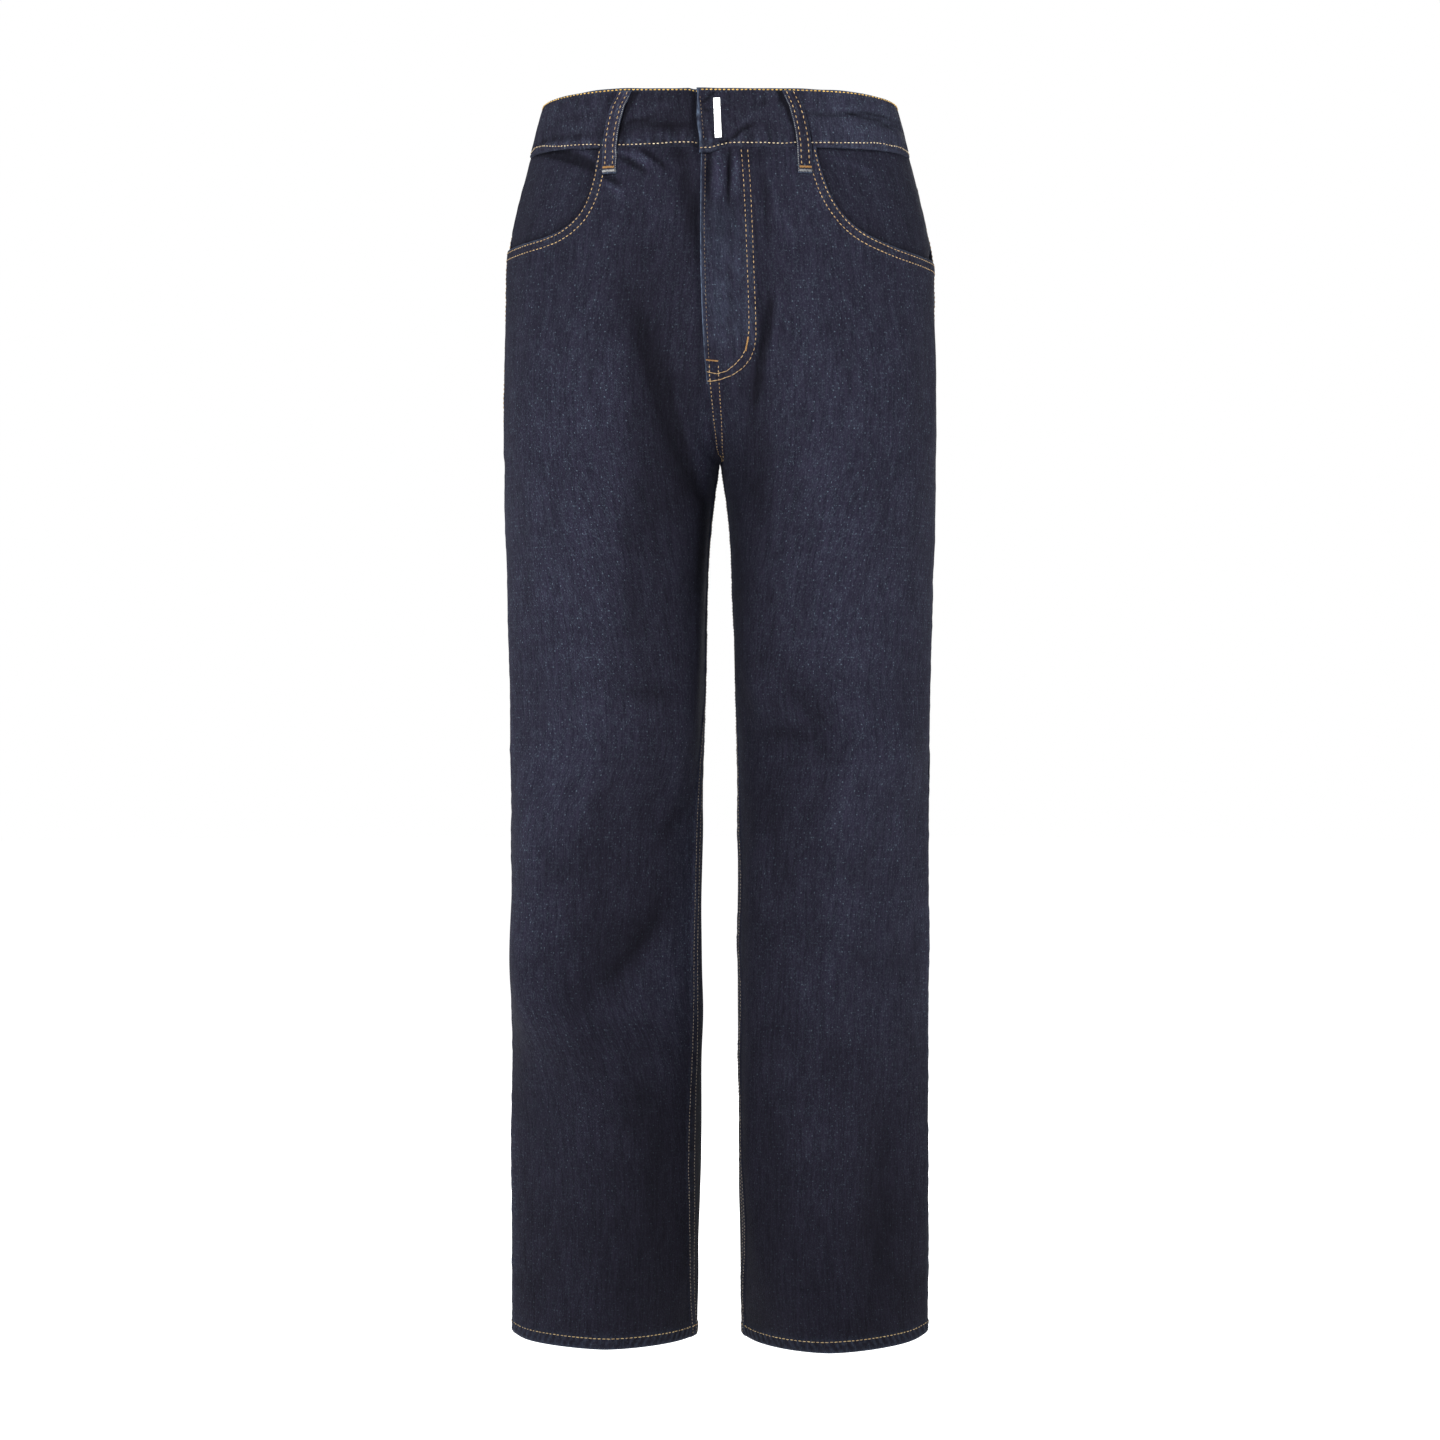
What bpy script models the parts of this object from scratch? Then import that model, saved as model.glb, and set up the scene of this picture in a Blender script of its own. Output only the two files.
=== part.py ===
"""Straight leg jeans, filled out as they are worn, open at the waist and at both hems.

The cloth pieces are cut from one skin. A point of it has two coordinates: round, which runs from 0 at
the centre front (the inseam, below the crotch) over 1 at the outseam to 2 at the centre back, and
height above the middle of the front waistband. The skin is lofted through the sections in SECTIONS
and INNER, and the largest folds are pressed into it. Lengths are millimetres until the vertices are
written. +Z is up, the front faces -Y, and the wearer's left is +X.
"""
import math

import bmesh
import bpy
import numpy as np
from mathutils import Euler, Vector

MM = 0.001

# Cloth and seams
DENIM = 1.6
BAND_WALL = 2.6
BAND_PROUD = 1.0
SEAM_GAP = 0.3
LAYER_GAP = 0.4
CURVE_ROOM = 0.5
FACING_ROOM = 1.0
SKIN_STEP = 0.4

# Lengths and lines
HEM = -1025.0
HEM_HEIGHT = 10.5
HEM_WALL = 3.2
CROTCH = -278.0
FRONT_TOP = 24.4
SIDE_TOP = 25.6
BACK_TOP = 38.0
FRONT_BAND_SEAM = -24.5
SIDE_BAND_SEAM = -15.5
BACK_BAND_SEAM = -6.0
SIDE_YOKE_SEAM = -50.0
BACK_YOKE_SEAM = -76.0
SETTLE = -200.0

# Fly: the left front laps over the right one
UNDERLAP = 8.0
FLY_FOOT = -200.0
FLY_CLOSED = -210.0
TUCK_END = -226.0
TUCK_PLACES = (-UNDERLAP, 1.5, 6.5)
EVEN_FROM = -300.0
BAND_LAP_TOP = 20.7
BAND_LAP_FOOT = 16.4
BAND_TUCK_PLACES = (-34.0, 1.0, 6.0)

# Pockets, loops and the plate
FACING_MARGIN = 20.0
FACING_RISE_WIDTH = 0.2
FACING_RISE_ROOM = 3.0
FACING_RISE_HEIGHT = 13.0
POCKET_CENTRE = 148.0
POCKET_TOP = -91.0
POCKET_TILT = 0.05
POCKET_DRIFT = 0.03
POCKET_WIDTH = 152.0
POCKET_FOOT_WIDTH = 148.0
POCKET_SIDE = 138.0
POCKET_POINT = 20.0
LOOP_WALL = 2.0
LOOP_TOP_ROOM = 0.5
LOOP_STEP = 4.0
LOOP_BULGE = 3.6
PLATE = (5.8, 0.9, 34.7)
PLATE_CENTRE = (-2.1, 0.0)
PLATE_TILT = 2.4
PLATE_BEVEL = 0.25

# Colours: the panels, the doubled cloth of band and loops, the shaded cloth behind the pocket mouths
PANEL_DENIM = (0.030, 0.030, 0.048)
BAND_DENIM = (0.027, 0.027, 0.043)
FACING_DENIM = (0.022, 0.022, 0.036)
PLATE_METAL = (0.8, 0.8, 0.82)

# The two faces that folds and loops lie on, and how finely the pieces are cut
FRONT_FACE = -1
BACK_FACE = 1
RING_STEPS = 96
FOLD_STEPS = 14
FRONT_COLUMNS = 5
MOUTH_COLUMNS = 12
BACK_COLUMNS = 14
FACING_COLUMNS = 14
FACING_ROWS = 9
TOP_ROWS = 6


def table(columns, *rows):
    """A short table as a dictionary of its named columns, sorted by the first of them."""
    values = np.array(sorted(rows), float)
    return {name: values[:, number] for number, name in enumerate(columns.split())}


# Half sections of the body: how far it reaches to the side, to the front and to the back, and how
# square the section is (2 is an ellipse, less is a lens with creases, more is a box with round corners).
SECTIONS = table(
    "height outer front back squareness",
    (45, 149.0, 94, 97, 2.70),
    (24, 154.0, 97, 100, 2.70),
    (-7, 162.0, 102, 107, 2.60),
    (-42, 170.5, 107, 115, 2.50),
    (-68, 176.0, 110, 120, 2.40),
    (-102, 182.0, 112, 126, 2.35),
    (-136, 184.5, 113, 129, 2.30),
    (-180, 185.3, 113, 130, 2.25),
    (-235, 185.3, 110, 126, 2.20),
    (-278, 185.0, 106, 117, 2.15),
    (-342, 183.6, 99, 106, 2.05),
    (-437, 181.2, 91, 96, 1.95),
    (-523, 179.4, 86, 87, 1.85),
    (-610, 178.9, 81, 81, 1.78),
    (-781, 179.0, 74, 76, 1.65),
    (-910, 179.0, 70, 72, 1.58),
    (-1035, 178.4, 69, 70, 1.55))

# The inner side of a leg. Below the crotch, inner is its distance from the middle plane. Above it the
# leg's section runs on past that plane until it is the whole trunk, and cleft rounds the valley there.
INNER = table(
    "height inner cleft",
    (-98, -182.0, 0),
    (-128, -146.0, 15),
    (-158, -96.0, 22),
    (-178, -62.0, 20),
    (-198, -37.5, 17),
    (-218, -21.5, 13),
    (-238, -11.6, 8),
    (-258, -5.2, 3.5),
    (-268, -2.5, 1.7),
    (-278, 0.0, 0),
    (-291, 2.9, 0),
    (-308, 5.3, 0),
    (-342, 8.7, 0),
    (-394, 11.2, 0),
    (-480, 13.8, 0),
    (-566, 15.1, 0),
    (-780, 15.6, 0),
    (-910, 16.8, 0),
    (-1035, 19.8, 0))

# How far the front and back crease of each leg lies from its middle, towards the other leg
CREASE = table(
    "height front_left front_right back_left back_right",
    (-278, 0, 0, 0, 0),
    (-296, 1, 1, 0, 0),
    (-335, 10, 8, 2, 3),
    (-385, 25, 20, 6, 6),
    (-430, 32, 30, 8, 4),
    (-470, 32, 33, -4, 6),
    (-515, 6, 30, -12, 14),
    (-571, 18, -16, 6, -6),
    (-640, 30, -32, 14, -10),
    (-745, 35, -34, 8, 8),
    (-785, 35, -4, 4, 12),
    (-830, 34, 12, 4, 10),
    (-960, 28, 12, 6, 6),
    (-1035, 6, 2, 0, 0))

# How far the left front's edge lies past the middle of the front
LAP = table(
    "height past_centre",
    (60, 15.6),
    (-24, 15.6),
    (-120, 15.8),
    (-187, 13.4),
    (-209, 11.9),
    (-234, 9.6),
    (-255, 7.6),
    (-270, 5.2),
    (-278, 0.0))

# The largest folds. Each is a soft trough (height below zero) or ridge along a bent line, which is
# given by its top, middle and foot; x is across, +X the wearer's left.
FOLDS = table(
    "face x_top z_top x_mid z_mid x_foot z_foot reach height",
    # right leg, front: hip to crotch, thigh, knee
    (FRONT_FACE, -78, -138, -50, -222, -13, -326, 12, -7.0),
    (FRONT_FACE, -92, -160, -84, -215, -76, -300, 20, 3.5),
    (FRONT_FACE, -34, -622, -84, -690, -134, -748, 14, -5.0),
    (FRONT_FACE, -46, -678, -66, -728, -88, -786, 16, 3.5),
    (FRONT_FACE, -40, -800, -44, -880, -46, -985, 20, -3.0),
    # left leg, front: beside the fly, thigh, knee notch, outer shin
    (FRONT_FACE, 40, -138, 34, -190, 27, -246, 9, -4.5),
    (FRONT_FACE, 64, -150, 58, -210, 52, -300, 20, 3.0),
    (FRONT_FACE, 46, -452, 78, -480, 104, -512, 14, -5.0),
    (FRONT_FACE, 142, -800, 136, -880, 134, -990, 16, -3.5),
    # back: under the seat and behind the knees
    (BACK_FACE, 18, -284, 78, -318, 152, -312, 15, -7.0),
    (BACK_FACE, -20, -278, -84, -306, -154, -322, 15, -7.0),
    (BACK_FACE, 26, -338, 74, -372, 128, -376, 15, -4.0),
    (BACK_FACE, -30, -342, -66, -362, -118, -398, 14, -4.0),
    (BACK_FACE, 36, -520, 92, -552, 158, -540, 14, -6.5),
    (BACK_FACE, 30, -600, 84, -584, 150, -612, 14, -6.0),
    (BACK_FACE, -34, -534, -86, -524, -156, -558, 14, -6.0),
    (BACK_FACE, -28, -584, -90, -612, -154, -604, 14, -6.5),
    (BACK_FACE, 60, -660, 100, -700, 140, -690, 16, -3.5))

# Pocket mouths as four Bezier points: distance round from the centre front, and height.
MOUTHS = {
    1: ((81.0, -24.5), (93.0, -79.5), (111.0, -114.0), (245.0, -106.0)),
    -1: ((103.5, -24.5), (113.5, -92.0), (127.5, -101.0), (245.0, -96.0))}

# Belt loops: name, side, face, and distance round from the middle at the loop's top and foot
LOOPS = (
    ("belt_loop_front_left", 1, FRONT_FACE, 57.2, 70.6),
    ("belt_loop_front_right", -1, FRONT_FACE, 79.1, 92.5),
    ("belt_loop_side_left", 1, BACK_FACE, 142.0, 146.0),
    ("belt_loop_side_right", -1, BACK_FACE, 142.0, 146.0),
    ("belt_loop_back", 1, BACK_FACE, 0.0, 0.0))
LOOP_TOP_WIDTH = 11.2
LOOP_FOOT_WIDTH = 12.0
LOOP_DROP = 23.0
# Along a loop from its top: share of its length, and how far it stands off the cloth
LOOP_PROFILE = table(
    "share stand",
    (0.0, 0.0),
    (0.07, 0.0),
    (0.2, 1.0),
    (0.36, 1.0),
    (0.52, 0.9),
    (0.64, 0.55),
    (0.8, 0.0),
    (1.0, 0.0))


def smooth(edge, width, value):
    """0 before edge, 1 past edge + width, and a soft step between."""
    step = np.clip((value - edge) / width, 0, 1)
    return step * step * (3 - 2 * step)


def along(rows, column, at):
    """The value of a table's column at the given heights, on a smooth curve through its rows."""
    heights = rows["height"]
    values = rows[column]
    slopes = np.gradient(values, heights)
    at = np.clip(at, heights[0], heights[-1])
    row = np.clip(np.searchsorted(heights, at) - 1, 0, len(heights) - 2)
    span = heights[row + 1] - heights[row]
    t = (at - heights[row]) / span
    start = (2 * t**3 - 3 * t**2 + 1) * values[row] + (t**3 - 2 * t**2 + t) * span * slopes[row]
    end = (3 * t**2 - 2 * t**3) * values[row + 1] + (t**3 - t**2) * span * slopes[row + 1]
    return start + end


def crease(side, behind, height):
    """How far a leg's section leans its front or back crease towards the other leg."""
    word = "left" if side > 0 else "right"
    return np.where(behind, along(CREASE, f"back_{word}", height), along(CREASE, f"front_{word}", height))


def ring(side, behind, height):
    """Half rings of the skin, from the middle plane or the inseam out to the outseam: x, y, length."""
    outer = along(SECTIONS, "outer", height)
    depth = np.where(behind, along(SECTIONS, "back", height), -along(SECTIONS, "front", height))
    squareness = along(SECTIONS, "squareness", height)
    joined = height > INNER["height"][-1]
    inner = np.where(joined, -outer, np.maximum(along(INNER, "inner", height), -outer))
    cleft = np.where(joined, 0, np.maximum(along(INNER, "cleft", height), 0))
    centre = (outer + inner) / 2
    half = (outer - inner) / 2
    start = (np.maximum(inner, cleft) - centre) / half
    first = np.arccos(np.clip(np.sign(start) * np.abs(start)**(squareness / 2), -1, 1))
    angle = first[:, None] * np.linspace(1, 0, RING_STEPS)
    power = (2 / squareness)[:, None]
    across = np.sign(np.cos(angle)) * np.abs(np.cos(angle))**power
    x = centre[:, None] + half[:, None] * across - crease(side, behind, height)[:, None] * (1 - across**2)
    y = depth[:, None] * np.abs(np.sin(angle))**power
    x = np.sqrt(np.maximum(x**2 - (cleft**2)[:, None], 0))
    steps = np.hypot(np.diff(x), np.diff(y))
    length = np.concatenate([np.zeros((len(height), 1)), np.cumsum(steps, axis=1)], axis=1)
    return x, y, length


def girth(side, behind, height):
    """Length of a half ring of the front or back at the given heights."""
    height = np.asarray(height, float)
    flat = height.ravel()
    return ring(side, np.full(len(flat), behind), flat)[2][:, -1].reshape(height.shape)


def fold_height(x, z, behind):
    """How far the folds lift the cloth at the points x, z of the front or the back."""
    lift = np.zeros(len(x))
    rows = zip(*FOLDS.values())
    for face, x_top, z_top, x_mid, z_mid, x_foot, z_foot, reach, height in rows:
        t = np.linspace(0, 1, FOLD_STEPS)
        line_x = (1 - t)**2 * x_top + 2 * t * (1 - t) * x_mid + t**2 * x_foot
        line_z = (1 - t)**2 * z_top + 2 * t * (1 - t) * z_mid + t**2 * z_foot
        apart = np.hypot(x[:, None] - line_x, z[:, None] - line_z)
        nearest = apart.argmin(axis=1)
        fade = np.sin(math.pi * (0.08 + 0.84 * t[nearest]))
        shape = height * fade * np.exp(-(apart.min(axis=1) / reach)**2)
        lift += np.where(behind == (face == BACK_FACE), shape, 0)
    return lift


def skin(side, turn, height):
    """Points of the skin of one side (+1 left, -1 right). Past 0 or 2 it runs on over the middle."""
    past = (turn < 0) | (turn > 2)
    inside = np.where(turn < 0, -turn, np.where(turn > 2, 4 - turn, turn))
    behind = inside > 1
    share = np.where(behind, 2 - inside, inside)
    ring_x, ring_y, length = ring(side, behind, height)
    target = share * length[:, -1]
    step = np.clip((length <= target[:, None]).sum(axis=1) - 1, 0, RING_STEPS - 2)
    row = np.arange(len(target))
    t = (target - length[row, step]) / np.maximum(length[row, step + 1] - length[row, step], 1e-9)
    x = ring_x[row, step] + t * (ring_x[row, step + 1] - ring_x[row, step])
    y = ring_y[row, step] + t * (ring_y[row, step + 1] - ring_y[row, step])
    trunk = height > CROTCH
    x = np.where(past & trunk, -x, x)
    y = np.where(past & ~trunk, -y, y)
    x = side * (x + SEAM_GAP / 2)
    depth = np.where(y > 0, along(SECTIONS, "back", height), along(SECTIONS, "front", height))
    y = y * (1 + fold_height(x, height, y > 0) / depth)
    return np.stack([x, y, height], axis=1)


def on_skin(side, turn, height, lift):
    """Points of one side that stand off the skin by lift, square to it."""
    crosses_up = (height <= CROTCH) & (height + SKIN_STEP > CROTCH)
    crosses_down = (height > CROTCH) & (height - SKIN_STEP <= CROTCH)
    above = np.where(crosses_up, height, height + SKIN_STEP)
    below = np.where(crosses_down, height, height - SKIN_STEP)
    turn_step = 0.004
    across = skin(side, turn + turn_step, height) - skin(side, turn - turn_step, height)
    upward = skin(side, turn, above) - skin(side, turn, below)
    normal = side * np.cross(across, upward)
    normal /= np.linalg.norm(normal, axis=1)[:, None]
    return skin(side, turn, height) + normal * np.reshape(lift, (-1, 1))


def band_top(turn):
    """Height of the waistband's top edge, from the centre front round to the centre back."""
    side = (SIDE_TOP - FRONT_TOP) * smooth(0, 1, turn)
    return FRONT_TOP + side + (BACK_TOP - SIDE_TOP) * smooth(1, 1, turn)


def band_seam(turn):
    """Height of the seam under the waistband."""
    front = (SIDE_BAND_SEAM - FRONT_BAND_SEAM) * np.clip(turn, 0, 1)**2
    return FRONT_BAND_SEAM + front + (BACK_BAND_SEAM - SIDE_BAND_SEAM) * smooth(1, 1, turn)


def yoke_seam(turn):
    """Height of the seam under the yoke, which drops from the side to the centre back."""
    return SIDE_YOKE_SEAM + (BACK_YOKE_SEAM - SIDE_YOKE_SEAM) * (turn - 1)


def lap_turn(height):
    """The left front's edge, as a share of the half front past the middle."""
    past = np.where(height > CROTCH, along(LAP, "past_centre", height), 0)
    return past / girth(1, False, height)


def bezier(points, t):
    """Points on a Bezier curve of four points."""
    first, second, third, last = (np.array(point) for point in points)
    t = np.reshape(t, (-1, 1))
    return (1 - t)**3 * first + 3 * t * (1 - t)**2 * second + 3 * t**2 * (1 - t) * third + t**3 * last


# Heights of a panel's rows, from where it has settled below the pocket to the hem's edge
CROTCH_ROWS = [SETTLE, FLY_CLOSED, TUCK_END, -240, -254, -264, -272, CROTCH, -283, -292, -306, -326]
THIGH_ROWS = [-352, -382, -412, -442, -468]
KNEE_ROWS = list(np.linspace(-488, -782, 15))
SHIN_ROWS = [-815, -855, -900, -945, -987]
HEM_ROWS = [HEM + HEM_HEIGHT + 0.5, HEM + HEM_HEIGHT, HEM]
LEG_ROWS = CROTCH_ROWS + THIGH_ROWS + KNEE_ROWS + SHIN_ROWS + HEM_ROWS


def make_material(name, colour, roughness, metallic=0.0):
    """A plain material of one colour."""
    material = bpy.data.materials.new(name)
    material.use_nodes = True
    shader = material.node_tree.nodes["Principled BSDF"]
    shader.inputs["Base Color"].default_value = (*colour, 1)
    shader.inputs["Roughness"].default_value = roughness
    shader.inputs["Metallic"].default_value = metallic
    return material


def cut_cloth(name, side, columns, rows, chart, outside, inside, colour):
    """A cloth piece: a flat grid, extruded, and laid on the skin.

    chart turns column and row numbers into turn and height. outside and inside turn those into how
    far the piece's two faces stand off the skin.
    """
    mesh = bmesh.new()
    bmesh.ops.create_grid(mesh, x_segments=columns, y_segments=rows, size=0.5)
    for vertex in mesh.verts:
        vertex.co = Vector(((vertex.co.x + 0.5) * columns, (vertex.co.y + 0.5) * rows, 0))
    raised = bmesh.ops.extrude_face_region(mesh, geom=mesh.faces[:])["geom"]
    bmesh.ops.translate(mesh, vec=(0, 0, 1), verts=[v for v in raised if isinstance(v, bmesh.types.BMVert)])
    bmesh.ops.recalc_face_normals(mesh, faces=mesh.faces[:])
    grid = np.array([vertex.co for vertex in mesh.verts])
    turn, height = chart(np.round(grid[:, 0]), np.round(grid[:, 1]))
    lift = np.where(grid[:, 2] > 0.5, outside(turn, height), inside(turn, height))
    for vertex, place in zip(mesh.verts, on_skin(side, turn, height, lift)):
        vertex.co = Vector(place) * MM
    if mesh.calc_volume(signed=True) < 0:
        bmesh.ops.reverse_faces(mesh, faces=mesh.faces[:])
    data = bpy.data.meshes.new(name)
    mesh.to_mesh(data)
    mesh.free()
    data.shade_smooth()
    data.set_sharp_from_angle(angle=math.radians(40))
    data.materials.append(make_material(name, colour, 0.9))
    jeans.objects.link(bpy.data.objects.new(name, data))


def flush(turn, height):
    """A face that lies on the skin."""
    return np.zeros(len(turn))


def panel_inside(turn, height):
    """The inner face of a leg panel, thicker where the hem is turned up twice."""
    return np.where(height <= HEM + HEM_HEIGHT + 0.1, -HEM_WALL, -DENIM)


def panel_rows(top, row):
    """Heights of a panel's rows: from its top edge down to SETTLE, then the rows of the leg."""
    settled = np.interp(row, np.arange(TOP_ROWS, TOP_ROWS + len(LEG_ROWS)), LEG_ROWS)
    share = np.clip(row / TOP_ROWS, 0, 1)
    return np.where(row < TOP_ROWS, top + (SETTLE - top) * share, settled)


def mouth_points(side):
    """The pocket mouth's points at the columns that start on it, evenly apart, as turn and height."""
    fine = bezier(MOUTHS[side], np.linspace(0, 1, RING_STEPS))
    length = np.concatenate([[0], np.cumsum(np.hypot(*np.diff(fine, axis=0).T))])
    even = np.linspace(0, length[-1], MOUTH_COLUMNS + 1)
    points = bezier(MOUTHS[side], np.interp(even, length, np.linspace(0, 1, RING_STEPS)))
    turn = points[:, 0] / girth(side, False, points[:, 1])
    return turn / turn[-1], points[:, 1]


def make_front(side, name, colour):
    """A front: its top edge runs under the waistband and then down along the pocket's mouth.

    The right front's first columns step in and run on behind the left one, down to the fly's foot.
    """
    offsets = np.array(TUCK_PLACES if side < 0 else (0.0,))
    fixed = len(offsets)
    corner = fixed - 1 + FRONT_COLUMNS
    columns = corner + MOUTH_COLUMNS
    mouth_turn, mouth_height = mouth_points(side)
    top_around = girth(side, False, np.array(FRONT_BAND_SEAM))
    first_turns = -side * lap_turn(np.array(FRONT_BAND_SEAM)) + offsets / top_around
    flat_turns = np.linspace(first_turns[-1], mouth_turn[0], FRONT_COLUMNS + 1)
    top_turns = np.concatenate([first_turns, flat_turns[1:], mouth_turn[1:]])

    def chart(column, row):
        number = column.astype(int)
        top_turn = top_turns[number]
        mouth = np.interp(column, np.arange(corner, columns + 1), mouth_height)
        under_band = band_seam(np.maximum(top_turn, 0)) - SEAM_GAP / 2
        height = panel_rows(np.where(number <= corner, under_band, mouth), row)
        around = girth(side, False, height)
        gap = SEAM_GAP / 2 / around
        start = -side * lap_turn(height) + gap
        even = start + (1 - gap - start) * column / columns
        place = offsets[np.minimum(number, fixed - 1)]
        place = np.where((number == 0) & (height < FLY_FOOT), 0, place)
        narrow = start + place / around
        rest = narrow + (1 - gap - narrow) * (column - fixed + 1) / (columns - fixed + 1)
        narrow = np.where(number < fixed, narrow, rest)
        settled = even + (narrow - even) * smooth(EVEN_FROM, TUCK_END - EVEN_FROM, height)
        rise = (1 - np.clip(row / TOP_ROWS, 0, 1))**1.5
        turn = np.where(number < fixed, settled, settled + (top_turn - settled) * rise)
        return np.minimum(turn, 1 - gap), height

    def outside(turn, height):
        past = (turn - lap_turn(height)) * girth(side, False, height)
        depth = (DENIM + LAYER_GAP) * smooth(TUCK_END, FLY_CLOSED - TUCK_END, height)
        return -depth * (side < 0) * (1 - smooth(TUCK_PLACES[1], TUCK_PLACES[2] - TUCK_PLACES[1], past))

    def inside(turn, height):
        return outside(turn, height) + panel_inside(turn, height)

    rows = TOP_ROWS + len(LEG_ROWS) - 1
    cut_cloth(name, side, columns, rows, chart, outside, inside, colour)


def make_back(side, name, colour):
    """A back: from the seam under the yoke to the hem."""
    def chart(column, row):
        share = column / BACK_COLUMNS
        height = panel_rows(yoke_seam(1 + share) - SEAM_GAP / 2, row)
        gap = SEAM_GAP / 2 / girth(side, True, height)
        return 1 + gap + (1 - 2 * gap) * share, height

    rows = TOP_ROWS + len(LEG_ROWS) - 1
    cut_cloth(name, side, BACK_COLUMNS, rows, chart, flush, panel_inside, colour)


def make_yoke(side, name, colour):
    """A yoke: from the seam under the waistband to the seam over the back."""
    rows = 4

    def chart(column, row):
        turn = 1 + column / BACK_COLUMNS
        top = band_seam(turn) - SEAM_GAP / 2
        foot = yoke_seam(turn) + SEAM_GAP / 2
        height = top + (foot - top) * row / rows
        gap = SEAM_GAP / 2 / girth(side, True, height)
        return np.clip(turn, 1 + gap, 2 - gap), height

    cut_cloth(name, side, BACK_COLUMNS, rows, chart, flush, panel_inside, colour)


def make_facing(side, name, colour):
    """The denim behind a pocket's mouth. It runs on behind the front, and comes out to the side seam."""
    mouth_end = MOUTHS[side][3][1]
    start = (MOUTHS[side][0][0] - FACING_MARGIN) / girth(side, False, np.array(FRONT_BAND_SEAM))

    def chart(column, row):
        end = 1 - SEAM_GAP / 2 / girth(side, False, np.array(SIDE_YOKE_SEAM))
        turn = start + (end - start) * column / FACING_COLUMNS
        top = band_seam(turn) - SEAM_GAP / 2
        return turn, top + (mouth_end - FACING_MARGIN - top) * row / FACING_ROWS

    def outside(turn, height):
        at_side = smooth(1 - FACING_RISE_WIDTH, FACING_RISE_WIDTH, turn)
        above_mouth = smooth(mouth_end + FACING_RISE_ROOM, FACING_RISE_HEIGHT, height)
        return -(DENIM + LAYER_GAP + FACING_ROOM) * (1 - at_side * above_mouth)

    def inside(turn, height):
        return outside(turn, height) - DENIM

    cut_cloth(name, side, FACING_COLUMNS, FACING_ROWS, chart, outside, inside, colour)


def make_band(side, name, colour):
    """Half of the waistband. The left half laps over the right one at the front."""
    columns = 26
    rows = 4
    around = girth(side, False, np.array(0.0))
    end = 2 - SEAM_GAP / 2 / around
    lap_middle = (BAND_LAP_TOP + BAND_LAP_FOOT) / 2 / around
    offsets = np.array((BAND_TUCK_PLACES if side < 0 else (0.0,))) / around
    fixed = len(offsets)

    def lap(height):
        share = (height - FRONT_BAND_SEAM) / (FRONT_TOP - FRONT_BAND_SEAM)
        return (BAND_LAP_FOOT + (BAND_LAP_TOP - BAND_LAP_FOOT) * share) / around

    def chart(column, row):
        number = column.astype(int)
        place = offsets[np.minimum(number, fixed - 1)]
        last = -side * lap_middle + offsets[-1]
        rest = last + (end - last) * (column - fixed + 1) / (columns - fixed + 1)
        along_band = np.where(number < fixed, 0, rest)
        top = band_top(along_band)
        foot = band_seam(along_band) + SEAM_GAP / 2
        height = top + (foot - top) * row / rows
        return np.where(number < fixed, -side * lap(height) + place, rest), height

    def outside(turn, height):
        past = (turn - lap(height)) * around
        out_from = BAND_TUCK_PLACES[1]
        tuck = (side < 0) * (1 - smooth(out_from, BAND_TUCK_PLACES[2] - out_from, past))
        return BAND_PROUD - (BAND_WALL + LAYER_GAP) * tuck

    def inside(turn, height):
        return outside(turn, height) - BAND_WALL

    cut_cloth(name, side, columns, rows, chart, outside, inside, colour)


def make_back_pocket(side, name, colour):
    """A patch pocket with a pointed foot, on the back panel, tilted to follow the yoke."""
    columns = 12
    rows = 12

    def chart(column, row):
        across = 2 * column / columns - 1
        down = row / rows
        length = POCKET_SIDE + POCKET_POINT * (1 - np.abs(across))
        half = (POCKET_WIDTH + (POCKET_FOOT_WIDTH - POCKET_WIDTH) * down) / 2
        height = POCKET_TOP - length * down - POCKET_TILT * half * across
        from_side = POCKET_CENTRE + half * across + POCKET_DRIFT * length * down
        return 1 + from_side / girth(side, True, height), height

    def inside(turn, height):
        return flush(turn, height) + LAYER_GAP + CURVE_ROOM / 2

    def outside(turn, height):
        return inside(turn, height) + DENIM

    cut_cloth(name, side, columns, rows, chart, outside, inside, colour)


def make_loop(name, side, face, top_place, foot_place, colour):
    """A belt loop, sewn down over the waistband's top edge and below its seam."""
    columns = 2
    shares = LOOP_PROFILE["share"]
    rows = len(shares) - 1
    behind = face == BACK_FACE
    middle = foot_place / girth(side, behind, np.array(0.0))
    top = band_top(2 - middle if behind else middle) - LOOP_TOP_ROOM
    seam = band_seam(2 - middle if behind else middle)
    foot = seam - LOOP_DROP

    def chart(column, row):
        share = np.interp(row, np.arange(rows + 1), shares)
        place = foot_place + (top_place - foot_place) * (1 - share)**2
        width = LOOP_TOP_WIDTH + (LOOP_FOOT_WIDTH - LOOP_TOP_WIDTH) * share
        height = top + (foot - top) * share
        turn = (place + (column / columns - 0.5) * width) / girth(side, behind, height)
        return (2 - turn if behind else turn), height

    def inside(turn, height):
        share = (top - height) / (top - foot)
        under = np.where(height > seam - LOOP_STEP, BAND_PROUD, 0.0)
        return under + LAYER_GAP + LOOP_BULGE * np.interp(share, shares, LOOP_PROFILE["stand"])

    def outside(turn, height):
        return inside(turn, height) + LOOP_WALL

    cut_cloth(name, side, columns, rows, chart, outside, inside, colour)


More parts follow.
